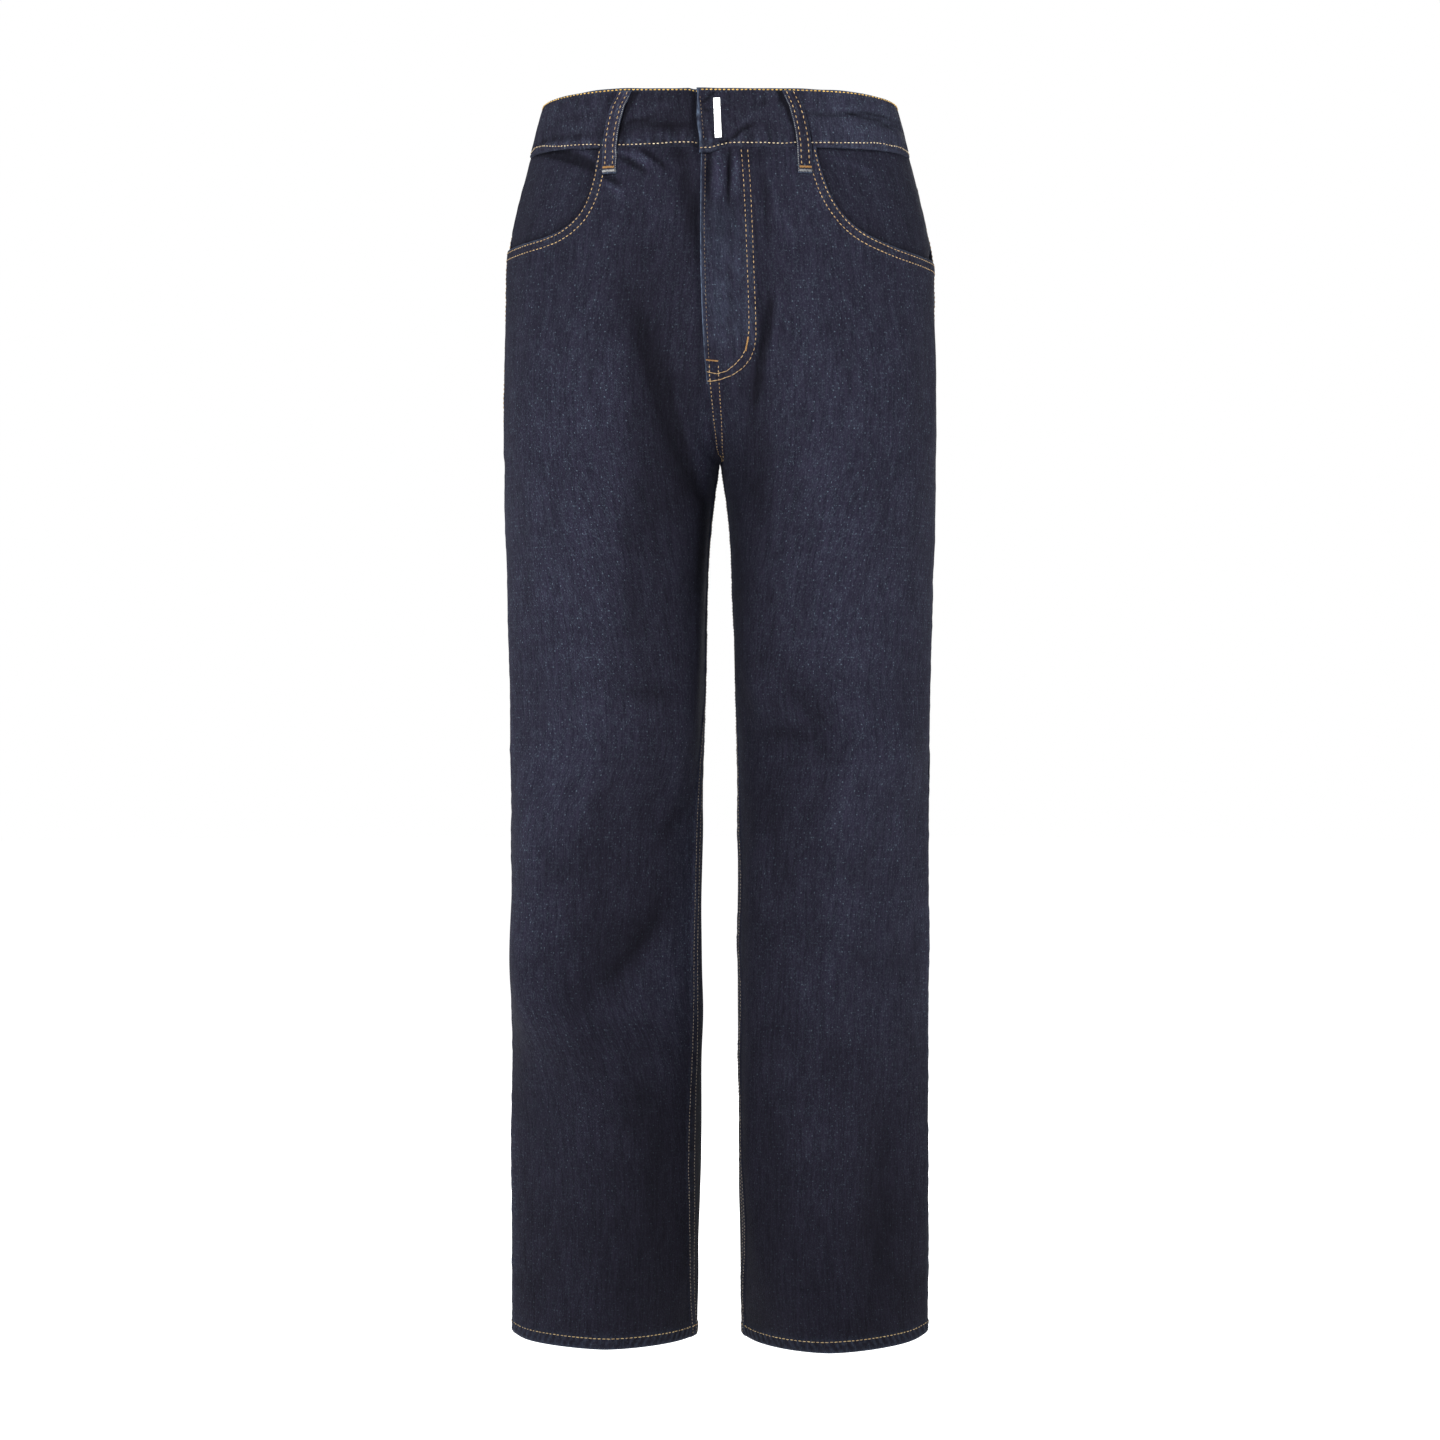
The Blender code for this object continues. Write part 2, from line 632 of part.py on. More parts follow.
def make_plate(name):
    """The narrow bare metal plate on the waistband's lap, a bevelled bar that lies along the cloth."""
    bpy.ops.mesh.primitive_cube_add(size=1)
    plate = bpy.context.active_object
    plate.name = name
    plate.data.name = name
    plate.scale = Vector(PLATE) * MM
    bpy.ops.object.transform_apply(location=False, rotation=False, scale=True)
    reach = PLATE[2] / 2
    ends = [PLATE_CENTRE[1] + reach, PLATE_CENTRE[1] - reach]
    lift = BAND_PROUD + LAYER_GAP + PLATE[1] / 2
    turns = np.array([abs(PLATE_CENTRE[0])] * 2) / girth(side, False, np.array(ends))
    high, low = on_skin(-1, turns, np.array(ends), np.full(2, lift))
    lean = math.atan2(high[1] - low[1], high[2] - low[2])
    plate.location = Vector((PLATE_CENTRE[0], (high[1] + low[1]) / 2, PLATE_CENTRE[1])) * MM
    plate.rotation_euler = Euler((-lean, math.radians(-PLATE_TILT), 0))
    bevel = plate.modifiers.new("edge", "BEVEL")
    bevel.width = PLATE_BEVEL * MM
    bevel.segments = 2
    plate.data.materials.append(make_material(name, PLATE_METAL, 0.35, 1.0))
    bpy.context.collection.objects.unlink(plate)
    jeans.objects.link(plate)


for old in list(bpy.data.objects):
    bpy.data.objects.remove(old, do_unlink=True)
jeans = bpy.data.collections.new("straight_leg_jeans")
bpy.context.scene.collection.children.link(jeans)

for side, word in ((1, "left"), (-1, "right")):
    make_front(side, f"front_{word}", PANEL_DENIM)
    make_back(side, f"back_{word}", PANEL_DENIM)
    make_yoke(side, f"yoke_{word}", PANEL_DENIM)
    make_facing(side, f"pocket_facing_{word}", FACING_DENIM)
    make_band(side, f"waistband_{word}", BAND_DENIM)
    make_back_pocket(side, f"back_pocket_{word}", PANEL_DENIM)
for loop in LOOPS:
    make_loop(*loop, BAND_DENIM)
make_plate("waistband_plate")
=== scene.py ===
"""Straight leg jeans in dark indigo denim, filled out as they are worn, in a plain pale studio."""
import math

import bmesh
import bpy
import numpy as np
from mathutils import Matrix, Vector
from mathutils.bvhtree import BVHTree


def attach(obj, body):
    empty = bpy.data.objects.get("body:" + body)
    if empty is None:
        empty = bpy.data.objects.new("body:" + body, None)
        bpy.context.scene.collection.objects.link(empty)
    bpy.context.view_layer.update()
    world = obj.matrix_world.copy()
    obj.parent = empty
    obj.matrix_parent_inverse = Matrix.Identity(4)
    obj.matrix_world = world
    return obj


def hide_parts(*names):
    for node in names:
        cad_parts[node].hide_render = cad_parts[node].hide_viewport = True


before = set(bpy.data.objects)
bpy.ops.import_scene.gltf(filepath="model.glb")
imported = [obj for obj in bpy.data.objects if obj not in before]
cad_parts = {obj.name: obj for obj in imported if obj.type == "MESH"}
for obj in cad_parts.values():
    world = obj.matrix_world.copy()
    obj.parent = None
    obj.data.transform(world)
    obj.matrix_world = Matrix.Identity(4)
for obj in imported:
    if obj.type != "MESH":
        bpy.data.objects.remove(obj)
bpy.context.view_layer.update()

# ---------------------------------------------------------------------------------------------
# Studio. A pale seamless floor under the hems, white all round, two large soft boxes in front
# and a camera at knee to thigh height, level, two and a half metres away.
# ---------------------------------------------------------------------------------------------
FLOOR_HEIGHT = -1.15
CAMERA_DISTANCE = 2.56
CAMERA_HEIGHT = -0.4973
LENS = 74.42
FLOOR_RADIUS = 14
WHITE_ROUND = 0.19


def link(made):
    """Put an object in the scene and return it."""
    bpy.context.scene.collection.objects.link(made)
    return made


camera = link(bpy.data.objects.new("camera", bpy.data.cameras.new("camera")))
camera.data.lens = LENS
camera.data.sensor_width = 36
camera.location = (0, -CAMERA_DISTANCE, CAMERA_HEIGHT)
camera.rotation_euler = (math.radians(90), 0, 0)
bpy.context.scene.camera = camera
bpy.context.scene.view_settings.view_transform = "Standard"


def soft_box(name, place, aim, size, power):
    """A large square area light that looks at a point."""
    light = bpy.data.lights.new(name, "AREA")
    light.shape = "RECTANGLE"
    light.size, light.size_y = size
    light.energy = power
    box = link(bpy.data.objects.new(name, light))
    box.location = place
    box.rotation_euler = (Vector(aim) - Vector(place)).to_track_quat("-Z", "Y").to_euler()


soft_box("light_front", (-0.75, -2.35, 1.0), (0.0, 0, -0.35), (0.9, 0.8), 62)
soft_box("light_left", (-2.3, -0.9, 0.3), (0.0, 0, -0.4), (0.8, 1.8), 15)
soft_box("light_right", (2.3, -0.9, 0.3), (0.0, 0, -0.4), (0.8, 1.8), 19)
soft_box("light_back", (0.4, 2.6, 0.9), (0, 0, -0.35), (1.4, 1.1), 60)

world = bpy.data.worlds.new("studio")
bpy.context.scene.world = world
world.use_nodes = True
sky = world.node_tree.nodes["Background"]
sky.inputs["Color"].default_value = (1, 1, 1, 1)
seen = world.node_tree.nodes.new("ShaderNodeLightPath")
level = world.node_tree.nodes.new("ShaderNodeMapRange")
level.inputs["To Min"].default_value = WHITE_ROUND
level.inputs["To Max"].default_value = 1.0
world.node_tree.links.new(seen.outputs["Is Camera Ray"], level.inputs["Value"])
world.node_tree.links.new(level.outputs["Result"], sky.inputs["Strength"])

floor_mesh = bmesh.new()
bmesh.ops.create_circle(floor_mesh, cap_ends=True, segments=64, radius=FLOOR_RADIUS)
bmesh.ops.translate(floor_mesh, verts=floor_mesh.verts[:], vec=(0, 0, FLOOR_HEIGHT))
floor_data = bpy.data.meshes.new("studio_floor")
floor_mesh.to_mesh(floor_data)
floor_mesh.free()
floor = link(bpy.data.objects.new("studio_floor", floor_data))
pale = bpy.data.materials.new("pale_floor")
pale.use_nodes = True
for socket, value in (("Base Color", (0.93, 0.93, 0.94, 1)), ("Roughness", 0.8),
                      ("Emission Color", (1, 1, 1, 1)), ("Emission Strength", 0.85)):
    pale.node_tree.nodes["Principled BSDF"].inputs[socket].default_value = value
floor_data.materials.append(pale)

# ---------------------------------------------------------------------------------------------
# Denim. Right hand twill of 13 ounces: indigo warp over a pale weft, with slubby warp threads
# that show as upright streaks, flecks of weft between them, and paler cloth where edges rub.
# ---------------------------------------------------------------------------------------------
TWILL_ACROSS = 0.0013
TWILL_UP = 0.0017
BUMP_DISTANCE = 0.0004
INDIGO_WEFT = (0.092, 0.128, 0.165)
# Colour of rubbed cloth, also used as painted light along the fronts' edges
INDIGO_RUBBED_AND_LIT = (0.11, 0.15, 0.225)


def wire(tree, kind, inputs=(), **settings):
    """Add a node. inputs pairs its sockets with a value or with another node's output."""
    made = tree.nodes.new(f"ShaderNode{kind}")
    for name, value in settings.items():
        setattr(made, name, value)
    for socket, value in inputs:
        if isinstance(value, bpy.types.NodeSocket):
            tree.links.new(value, made.inputs[socket])
        else:
            made.inputs[socket].default_value = value
    return made


def calculate(tree, operation, *values):
    """A maths node's result."""
    return wire(tree, "Math", list(enumerate(values)), operation=operation).outputs[0]


def blend_colours(tree, share, first, second, how="MIX"):
    """A colour mix's result."""
    mix = wire(tree, "Mix", data_type="RGBA", blend_type=how)
    for socket, value in ((0, share), (6, first), (7, second)):
        if isinstance(value, bpy.types.NodeSocket):
            tree.links.new(value, mix.inputs[socket])
        else:
            mix.inputs[socket].default_value = value
    return mix.outputs[2]


def pick(tree, value, low, high, to_low=0.0, to_high=1.0):
    """A value mapped and clamped from one range to another."""
    ends = ((0, value), (1, low), (2, high), (3, to_low), (4, to_high))
    return wire(tree, "MapRange", ends).outputs[0]


def threads(tree, place, across, upright, detail=2.0):
    """Noise drawn out along the cloth: so many grains a metre across it and up it."""
    grain = wire(tree, "Mapping", (("Vector", place), ("Scale", (across, upright, 1))))
    inputs = (("Vector", grain.outputs[0]), ("Scale", 1.0), ("Detail", detail), ("Roughness", 0.6))
    return wire(tree, "TexNoise", inputs, noise_dimensions="2D").outputs[0]


def make_denim_group():
    """The denim's colour, roughness and height from the place on the cloth, how worn it is, and how bright
    its fade and painted light and shade leave it.
    """
    group = bpy.data.node_groups.new("denim_twill", "ShaderNodeTree")
    for way, kind, names in (
            ("INPUT", "Vector", ("Place",)), ("INPUT", "Float", ("Worn", "Wash")),
            ("INPUT", "Color", ("Dark Warp", "Bright Warp", "Weft", "Rubbed And Lit")),
            ("OUTPUT", "Color", ("Colour",)), ("OUTPUT", "Float", ("Roughness", "Height"))):
        for name in names:
            group.interface.new_socket(name, in_out=way, socket_type=f"NodeSocket{kind}")
    given = group.nodes.new("NodeGroupInput").outputs
    place, wash = given["Place"], given["Wash"]

    def add(first, second):
        return calculate(group, "ADD", first, second)

    def times(first, second):
        return calculate(group, "MULTIPLY", first, second)

    slub = threads(group, place, 430, 30)
    fibre = threads(group, place, 800, 170)
    fleck = threads(group, place, 760, 520)
    speck = threads(group, place, 640, 520, 0.0)
    patch = threads(group, place, 150, 105, 3.0)
    mottle = threads(group, place, 42, 22, 4.0)
    cloud = threads(group, place, 7, 5, 2.0)
    axes = wire(group, "SeparateXYZ", (("Vector", place),)).outputs
    slope = add(times(axes[0], math.tau / TWILL_ACROSS), times(axes[1], math.tau / TWILL_UP))
    twill = calculate(group, "SINE", slope)

    streak = add(pick(group, slub, 0.32, 0.68, 0.06, 0.54), pick(group, fibre, 0.34, 0.66, 0.04, 0.34))
    colour = blend_colours(group, streak, given["Dark Warp"], given["Bright Warp"])
    colour = blend_colours(group, pick(group, twill, 0.35, 1.0, 0.0, 0.05), colour, given["Weft"])
    flecks = times(pick(group, patch, 0.42, 0.62, 0.45, 1.0), pick(group, mottle, 0.38, 0.6, 0.78, 1))
    flecks = times(pick(group, fleck, 0.52, 0.72, 0, 0.24), flecks)
    flecks = add(flecks, pick(group, patch, 0.46, 0.68, 0, 0.035))
    flecks = add(flecks, pick(group, speck, 0.80, 0.88, 0, 0.6))
    # Where the wash attribute paints shade, the flecks are dimmed with the rest of the colour
    flecks = times(flecks, pick(group, wash, 0.05, 0.6, 0.5, 1.0))
    colour = blend_colours(group, flecks, colour, given["Weft"])
    uneven = times(pick(group, mottle, 0.3, 0.7, 0.88, 1.12), pick(group, cloud, 0.3, 0.7, 0.91, 1.09))
    # The wash attribute scales the colour 0.4 to 1.4 times: a little of it is the wash's fade, most of it
    # painted light and painted shade
    uneven = times(uneven, pick(group, wash, 0, 1, 0.4, 1.4))
    grey = wire(group, "CombineColor", ((0, uneven), (1, uneven), (2, uneven)))
    colour = blend_colours(group, 1.0, colour, grey.outputs[0], "MULTIPLY")
    # The worn attribute mixes in the rubbed colour: wear along edges and seams, and painted light along the
    # fronts' inner and outer edges
    rubbed_and_lit_share = times(given["Worn"], pick(group, fibre, 0.34, 0.62, 0.35, 1.15))
    colour = blend_colours(group, pick(group, rubbed_and_lit_share, 0.0, 1.0), colour, given["Rubbed And Lit"])

    height = add(add(times(twill, 0.3), times(fibre, 1.1)), times(slub, 0.8))
    result = group.nodes.new("NodeGroupOutput").inputs
    group.links.new(colour, result["Colour"])
    group.links.new(pick(group, fleck, 0.3, 0.7, 0.94, 0.8), result["Roughness"])
    group.links.new(height, result["Height"])
    return group


denim_twill = make_denim_group()


def make_denim(name, dark, bright, weft=INDIGO_WEFT, rubbed=INDIGO_RUBBED_AND_LIT, sheen=0.012, bump=0.5):
    """A denim finish. dark and bright are its warp, rubbed its worn edges and the edges painted lighter."""
    material = bpy.data.materials.new(name)
    material.use_nodes = True
    tree = material.node_tree
    shader = tree.nodes["Principled BSDF"]
    cloth = wire(tree, "Group", node_tree=denim_twill)
    tree.links.new(wire(tree, "UVMap", uv_map="cloth").outputs[0], cloth.inputs["Place"])
    # The wash attribute carries painted light and shade as well as the wash's fade
    for socket, word in (("Worn", "worn"), ("Wash", "wash")):
        tree.links.new(wire(tree, "Attribute", attribute_name=word).outputs["Fac"], cloth.inputs[socket])
    for socket, colour in zip(("Dark Warp", "Bright Warp", "Weft", "Rubbed And Lit"), (dark, bright, weft, rubbed)):
        cloth.inputs[socket].default_value = (*colour, 1)
    inputs = (("Height", cloth.outputs["Height"]), ("Strength", bump), ("Distance", BUMP_DISTANCE))
    tree.links.new(cloth.outputs["Colour"], shader.inputs["Base Color"])
    tree.links.new(cloth.outputs["Roughness"], shader.inputs["Roughness"])
    tree.links.new(wire(tree, "Bump", inputs).outputs[0], shader.inputs["Normal"])
    for socket, value in (("Sheen Weight", sheen), ("Sheen Roughness", 0.45),
                          ("Sheen Tint", (0.55, 0.62, 0.85, 1)), ("Specular IOR Level", 0.08)):
        shader.inputs[socket].default_value = value
    return material


# The band's and loops' copy of the denim is painted a little lighter than the panels' for the light on the
# band; the facings' copy, named for the shade it lies in, is nearly the panels'
panel_denim = make_denim("denim_panels", (0.0062, 0.0053, 0.0120), (0.0192, 0.0172, 0.0325))
band_denim_painted_lighter = make_denim("denim_band_painted_lighter", (0.0066, 0.0057, 0.0124), (0.0208, 0.0190, 0.0340))
facing_denim = make_denim("denim_in_shade", (0.0062, 0.0054, 0.0120), (0.0190, 0.0172, 0.0320))
reverse_denim = make_denim("denim_reverse", (0.085, 0.09, 0.12), (0.15, 0.16, 0.20),
                           (0.34, 0.35, 0.38), (0.4, 0.41, 0.44), 0.1, 0.6)

# ---------------------------------------------------------------------------------------------
# Fronts. Two denim panels from the waistband to the hem, with scooped pocket mouths. The left one
# laps over the right at the fly; the inseams are felled and the hems turned up twice.
# They set the worn form that every other piece follows: the skin, in millimetres.
# ---------------------------------------------------------------------------------------------
MM = 0.001
# Thickness of the denim, the gap left at a seam, and how high the hems are turned up
DENIM = 1.6
SEAM_GAP = 0.04
HEM_HEIGHT = 10.5
# Heights of the hem, the crotch, the place from which a panel's rows run level, and the band's seam
HEM = -1025.0
CROTCH = -278.0
SETTLE = -200.0
FRONT_BAND_SEAM = -24.5
SIDE_BAND_SEAM = -15.5
BACK_BAND_SEAM = -6.0
# How far the right front runs on under the left one, and where that and the fly's turning end
UNDERLAP = 8.0
UNDERLAP_FOOT = -226
FLY_FOOT = -219
# The two faces of the body, and how finely its rings and its folds are worked out
FRONT_FACE = -1
BACK_FACE = 1
RING_STEPS = 96
FOLD_STEPS = 36
# How strongly the folds are painted darker and lighter as shade, how uneven pressed cloth is, and how sharp
# an edge shades hard
FOLD_PAINTED_SHADE = 0.8
WEAVE_PLAY = 0.22
SHARP_ANGLE = math.radians(55)
# Rows of points down a leg, closer over the hem, and the least places of the inseam's stitches
LEG_STEP = 3.8
HEM_ROWS = (12.4, 11.2, 10, 8.8, 7.2, 5.4, 3.6, 2, 0.9, 0.3, 0)
INSEAM_EDGE = 2.6
INSEAM_APART = 4.4
SIDES = ((1, "left"), (-1, "right"))
# The inner edge of each front, painted lighter where it turns away from the lights: its reach, how much
# lighter in the wash, and how much rubbed colour it is given
INNER_EDGE_LIGHT = {1: (19, 0.65, 0.06), -1: (32, 0.95, 0.035)}


def table(columns, *rows):
    """A short table as a dictionary of its named columns, sorted by the first of them."""
    values = np.array(sorted(rows), float)
    return {name: values[:, number] for number, name in enumerate(columns.split())}


# Half sections of the body: reach to the side, the front and the back, and how square they are
SECTIONS = table(
    "height outer front back squareness",
    (45, 146.8, 94, 97, 2.70), (24, 151.7, 97, 100, 2.70), (-7, 159.8, 102, 107, 2.60),
    (-42, 169.3, 107, 115, 2.50), (-68, 175.6, 110, 120, 2.40), (-102, 182.0, 112, 126, 2.35),
    (-136, 184.5, 113, 129, 2.30), (-180, 185.3, 113, 130, 2.25), (-235, 185.3, 110, 126, 2.20),
    (-278, 185.0, 106, 117, 2.15), (-342, 183.6, 99, 106, 2.05), (-437, 181.2, 91, 96, 1.95),
    (-523, 179.4, 86, 87, 1.85), (-610, 178.9, 81, 81, 1.78), (-781, 179.0, 74, 76, 1.65),
    (-910, 179.0, 70, 72, 1.58), (-1035, 178.4, 69, 70, 1.55))

# The inner side of a leg, and how far the valley over the crotch is rounded
INNER = table(
    "height inner cleft",
    (-98, -182.0, 0), (-128, -146.0, 15), (-158, -96.0, 22), (-178, -62.0, 20), (-198, -37.5, 17),
    (-218, -21.5, 13), (-238, -11.6, 8), (-258, -5.2, 3.5), (-268, -2.5, 1.7), (-278, 0.0, 0),
    (-291, 2.9, 0), (-308, 5.3, 0), (-342, 8.7, 0), (-394, 11.2, 0), (-480, 13.8, 0),
    (-566, 15.1, 0), (-780, 15.6, 0), (-910, 16.8, 0), (-1035, 19.8, 0))

# How far the front and back crease of each leg leans towards the other leg
CREASE = table(
    "height front_left front_right back_left back_right",
    (-278, 0, 0, 0, 0), (-296, 1, 1, 0, 0), (-335, 10, 8, 2, 3), (-385, 25, 20, 6, 6),
    (-430, 32, 30, 8, 4), (-470, 32, 33, -4, 6), (-515, 6, 30, -12, 14), (-571, 18, -16, 6, -6),
    (-640, 30, -32, 14, -10), (-745, 35, -34, 8, 8), (-785, 35, -4, 4, 12), (-830, 34, 12, 4, 10),
    (-960, 28, 12, 6, 6), (-1035, 6, 2, 0, 0))

# How far the left front's edge lies past the middle, and the J of the fly's stitching beyond it
LAP = table(
    "height past_centre",
    (60, 15.6), (-24, 15.6), (-120, 15.8), (-187, 13.4), (-209, 11.9), (-234, 9.6), (-255, 7.6),
    (-270, 5.2), (-278, 0.0))
FLY = table(
    "height inner outer",
    (-24, 17.3, 22.7), (-53, 19.4, 24.7), (-86, 21.0, 26.3), (-119, 22.2, 27.5), (-152, 23.4, 28.8),
    (-178, 24.0, 29.6), (-189, 22.4, 28.9), (-197, 18.9, 26.5), (-203, 13.0, 23.0), (-208, 5.4, 17.0),
    (-211, -12.4, 11.5), (-214, -16.0, 2.1), (-216, -16.0, -7.2), (-218, -16.0, -14.0))

# Folds: soft troughs and ridges along bent lines through a top, a middle and a foot
FOLDS = table(
    "face x_top z_top x_mid z_mid x_foot z_foot reach height",
    # right leg, front: hip to crotch, thigh, knee
    (FRONT_FACE, -78, -138, -50, -222, -13, -326, 12, -7.0),
    (FRONT_FACE, -92, -160, -84, -215, -76, -300, 20, 3.5),
    (FRONT_FACE, -34, -622, -84, -690, -134, -748, 14, -3.2),
    (FRONT_FACE, -46, -678, -66, -728, -88, -786, 16, 3.5),
    (FRONT_FACE, -40, -800, -44, -880, -46, -985, 20, -3.0),
    # left leg, front: beside the fly, thigh, knee notch, outer shin
    (FRONT_FACE, 40, -138, 34, -190, 27, -246, 9, -2.8),
    (FRONT_FACE, 64, -150, 58, -210, 52, -300, 20, 3.0),
    (FRONT_FACE, 46, -452, 78, -480, 104, -512, 14, -5.0),
    (FRONT_FACE, 142, -800, 136, -880, 134, -990, 16, -3.5),
    # back: under the seat and behind the knees
    (BACK_FACE, 18, -284, 78, -318, 152, -312, 15, -7.0),
    (BACK_FACE, -20, -278, -84, -306, -154, -322, 15, -7.0),
    (BACK_FACE, 26, -338, 74, -372, 128, -376, 15, -4.0),
    (BACK_FACE, -30, -342, -66, -362, -118, -398, 14, -4.0),
    (BACK_FACE, 36, -520, 92, -552, 158, -540, 14, -6.5),
    (BACK_FACE, 30, -600, 84, -584, 150, -612, 14, -6.0),
    (BACK_FACE, -34, -534, -86, -524, -156, -558, 14, -6.0),
    (BACK_FACE, -28, -584, -90, -612, -154, -604, 14, -6.5),
    (BACK_FACE, 60, -660, 100, -700, 140, -690, 16, -3.5),
    # smaller ones, front: the sharp bottoms of the folds beside the fly and towards the crotch
    (FRONT_FACE, -47, -236, -34, -275, -13, -318, 3.2, -3.6),
    (FRONT_FACE, -13, -312, -15, -345, -18, -388, 3.4, -2.6),
    (FRONT_FACE, -38, -222, -25, -262, -12, -296, 4, 1.8),
    (FRONT_FACE, 42, -152, 37, -184, 29, -236, 3.0, -3.4),
    (FRONT_FACE, 52, -140, 44, -186, 34, -244, 4, 1.5),
    # fly: short folds that fan out below the waistband, and a soft hollow beside its edge
    (FRONT_FACE, -34, -22, -26, -60, -20, -112, 8, -3.6),
    (FRONT_FACE, -9, -26, -9, -46, -10, -74, 2.6, -1.9),
    (FRONT_FACE, -2, -28, -1, -46, -3, -68, 3.2, 3.2),
    (FRONT_FACE, 8, -26, 7.4, -46, 6.4, -74, 1.8, -2.6),
    (FRONT_FACE, 14, -28, 13, -42, 12, -66, 2.8, 2.0),
    (FRONT_FACE, 33, -30, 39, -60, 41, -104, 3.6, -1.5),
    (FRONT_FACE, 42, -34, 46, -66, 50, -100, 4, 1.3),
    # under the waistband: pulls from the loops and the seam
    (FRONT_FACE, -84, -26, -72, -30, -58, -41, 2.4, 2.4),
    (FRONT_FACE, -83, -32, -74, -34, -62, -45, 2.4, -2.6),
    (FRONT_FACE, -74, -25, -63, -30, -51, -40, 2.2, 2.0),
    (FRONT_FACE, -68, -26, -56, -30, -45, -42, 2.4, -3.0),
    (FRONT_FACE, -99, -46, -91, -49, -81, -55, 2.2, -2.0),
    (FRONT_FACE, -97, -50, -91, -55, -82, -63, 2.4, 3.0),
    (FRONT_FACE, -156, -19, -128, -24, -103, -40, 3.2, -3.8),
    (FRONT_FACE, -128, -19, -116, -22, -103, -33, 2.8, 2.8),
    (FRONT_FACE, -62, -56, -54, -74, -50, -96, 5, 0.8),
    (FRONT_FACE, 96, -30, 108, -34, 130, -40, 3.0, 1.8),
    (FRONT_FACE, 52, -72, 57, -92, 60, -118, 3.0, 0.8),
    # crotch, thighs and knees
    (FRONT_FACE, -20, -290, -36, -312, -60, -335, 7, -0.9),
    (FRONT_FACE, 16, -280, 28, -306, 46, -330, 7, -0.9),
    (FRONT_FACE, -20, -470, -50, -478, -84, -470, 8, -1.6),
    (FRONT_FACE, -24, -560, -44, -580, -60, -620, 6, -1.3),
    (FRONT_FACE, -30, -500, -36, -540, -48, -585, 7, 2.0),
    (FRONT_FACE, 30, -512, 60, -500, 96, -524, 7, -2.0),
    (FRONT_FACE, 60, -474, 84, -490, 92, -530, 7, -1.4),
    (FRONT_FACE, 92, -536, 78, -562, 70, -610, 6, -1.5),
    (FRONT_FACE, 70, -300, 100, -318, 140, -312, 9, -1.2),
    (FRONT_FACE, -70, -420, -110, -432, -150, -424, 10, -1.2),
    (FRONT_FACE, -60, -742, -96, -764, -140, -770, 8, -0.8),
    (FRONT_FACE, -44, -650, -62, -686, -104, -722, 6, -2.0),
    (FRONT_FACE, 36, -560, 52, -600, 54, -650, 6, -0.9),
    (FRONT_FACE, 128, -600, 120, -660, 128, -720, 11, -1.4),
    (FRONT_FACE, -150, -560, -140, -620, -148, -690, 11, -1.4),
    # smaller ones, back: pulls from the crotch, under the seat, behind the knees, shins
    (BACK_FACE, 8, -236, 34, -280, 70, -330, 9, -2.6),
    (BACK_FACE, -8, -240, -38, -286, -66, -322, 9, -2.4),
    (BACK_FACE, 12, -262, 40, -298, 96, -336, 6, -2.2),
    (BACK_FACE, -14, -268, -46, -296, -92, -340, 6, -2.2),
    (BACK_FACE, 60, -404, 96, -418, 146, -404, 9, -1.6),
    (BACK_FACE, -50, -420, -90, -410, -140, -432, 9, -1.5),
    (BACK_FACE, 44, -562, 88, -574, 150, -566, 6, -2.4),
    (BACK_FACE, 30, -546, 66, -566, 104, -560, 5, -2.0),
    (BACK_FACE, -40, -560, -96, -556, -150, -580, 6, -2.4),
    (BACK_FACE, -28, -556, -60, -572, -100, -572, 5, -2.0),
    (BACK_FACE, 40, -632, 84, -622, 140, -640, 8, -2.0),
    (BACK_FACE, -36, -640, -84, -632, -142, -652, 8, -2.0),
    (BACK_FACE, -50, -700, -84, -716, -130, -706, 10, -1.4),
    (BACK_FACE, 54, -760, 90, -772, 136, -764, 11, -1.1),
    (BACK_FACE, 96, -860, 90, -910, 94, -985, 14, -1.6),
    (BACK_FACE, -96, -850, -104, -900, -98, -985, 14, -1.6))

# Painted light and shade on the fronts, with a little of the wash's fade: each leg's outer part is painted
# brighter where the lights fall, its inner part dim, parted by a line down the leg, and both dimmer towards
# the hems
FRONT_LIGHT_AND_WASH = table(
    "height line_left line_right bright_left bright_right dim",
    (-20, 30, -30, 0.60, 0.48, 0.40), (-100, 36, -60, 0.62, 0.48, 0.40),
    (-141, 42, -70, 0.66, 0.54, 0.38), (-239, 42, -80, 0.70, 0.70, 0.32),
    (-330, 46, -80, 0.70, 0.74, 0.31), (-440, 47, -76, 0.72, 0.76, 0.32),
    (-490, 60, -70, 0.72, 0.80, 0.34), (-508, 86, -72, 0.72, 0.82, 0.34),
    (-545, 80, -90, 0.70, 0.82, 0.33), (-571, 74, -112, 0.66, 0.80, 0.33),
    (-625, 66, -128, 0.58, 0.72, 0.32), (-695, 58, -132, 0.54, 0.62, 0.30),
    (-745, 52, -128, 0.47, 0.44, 0.27), (-775, 48, -86, 0.39, 0.33, 0.20),
    (-865, 44, -90, 0.27, 0.29, 0.10), (-900, 46, -90, 0.20, 0.28, 0.07),
    (-1025, 42, -80, 0.08, 0.24, 0.02))

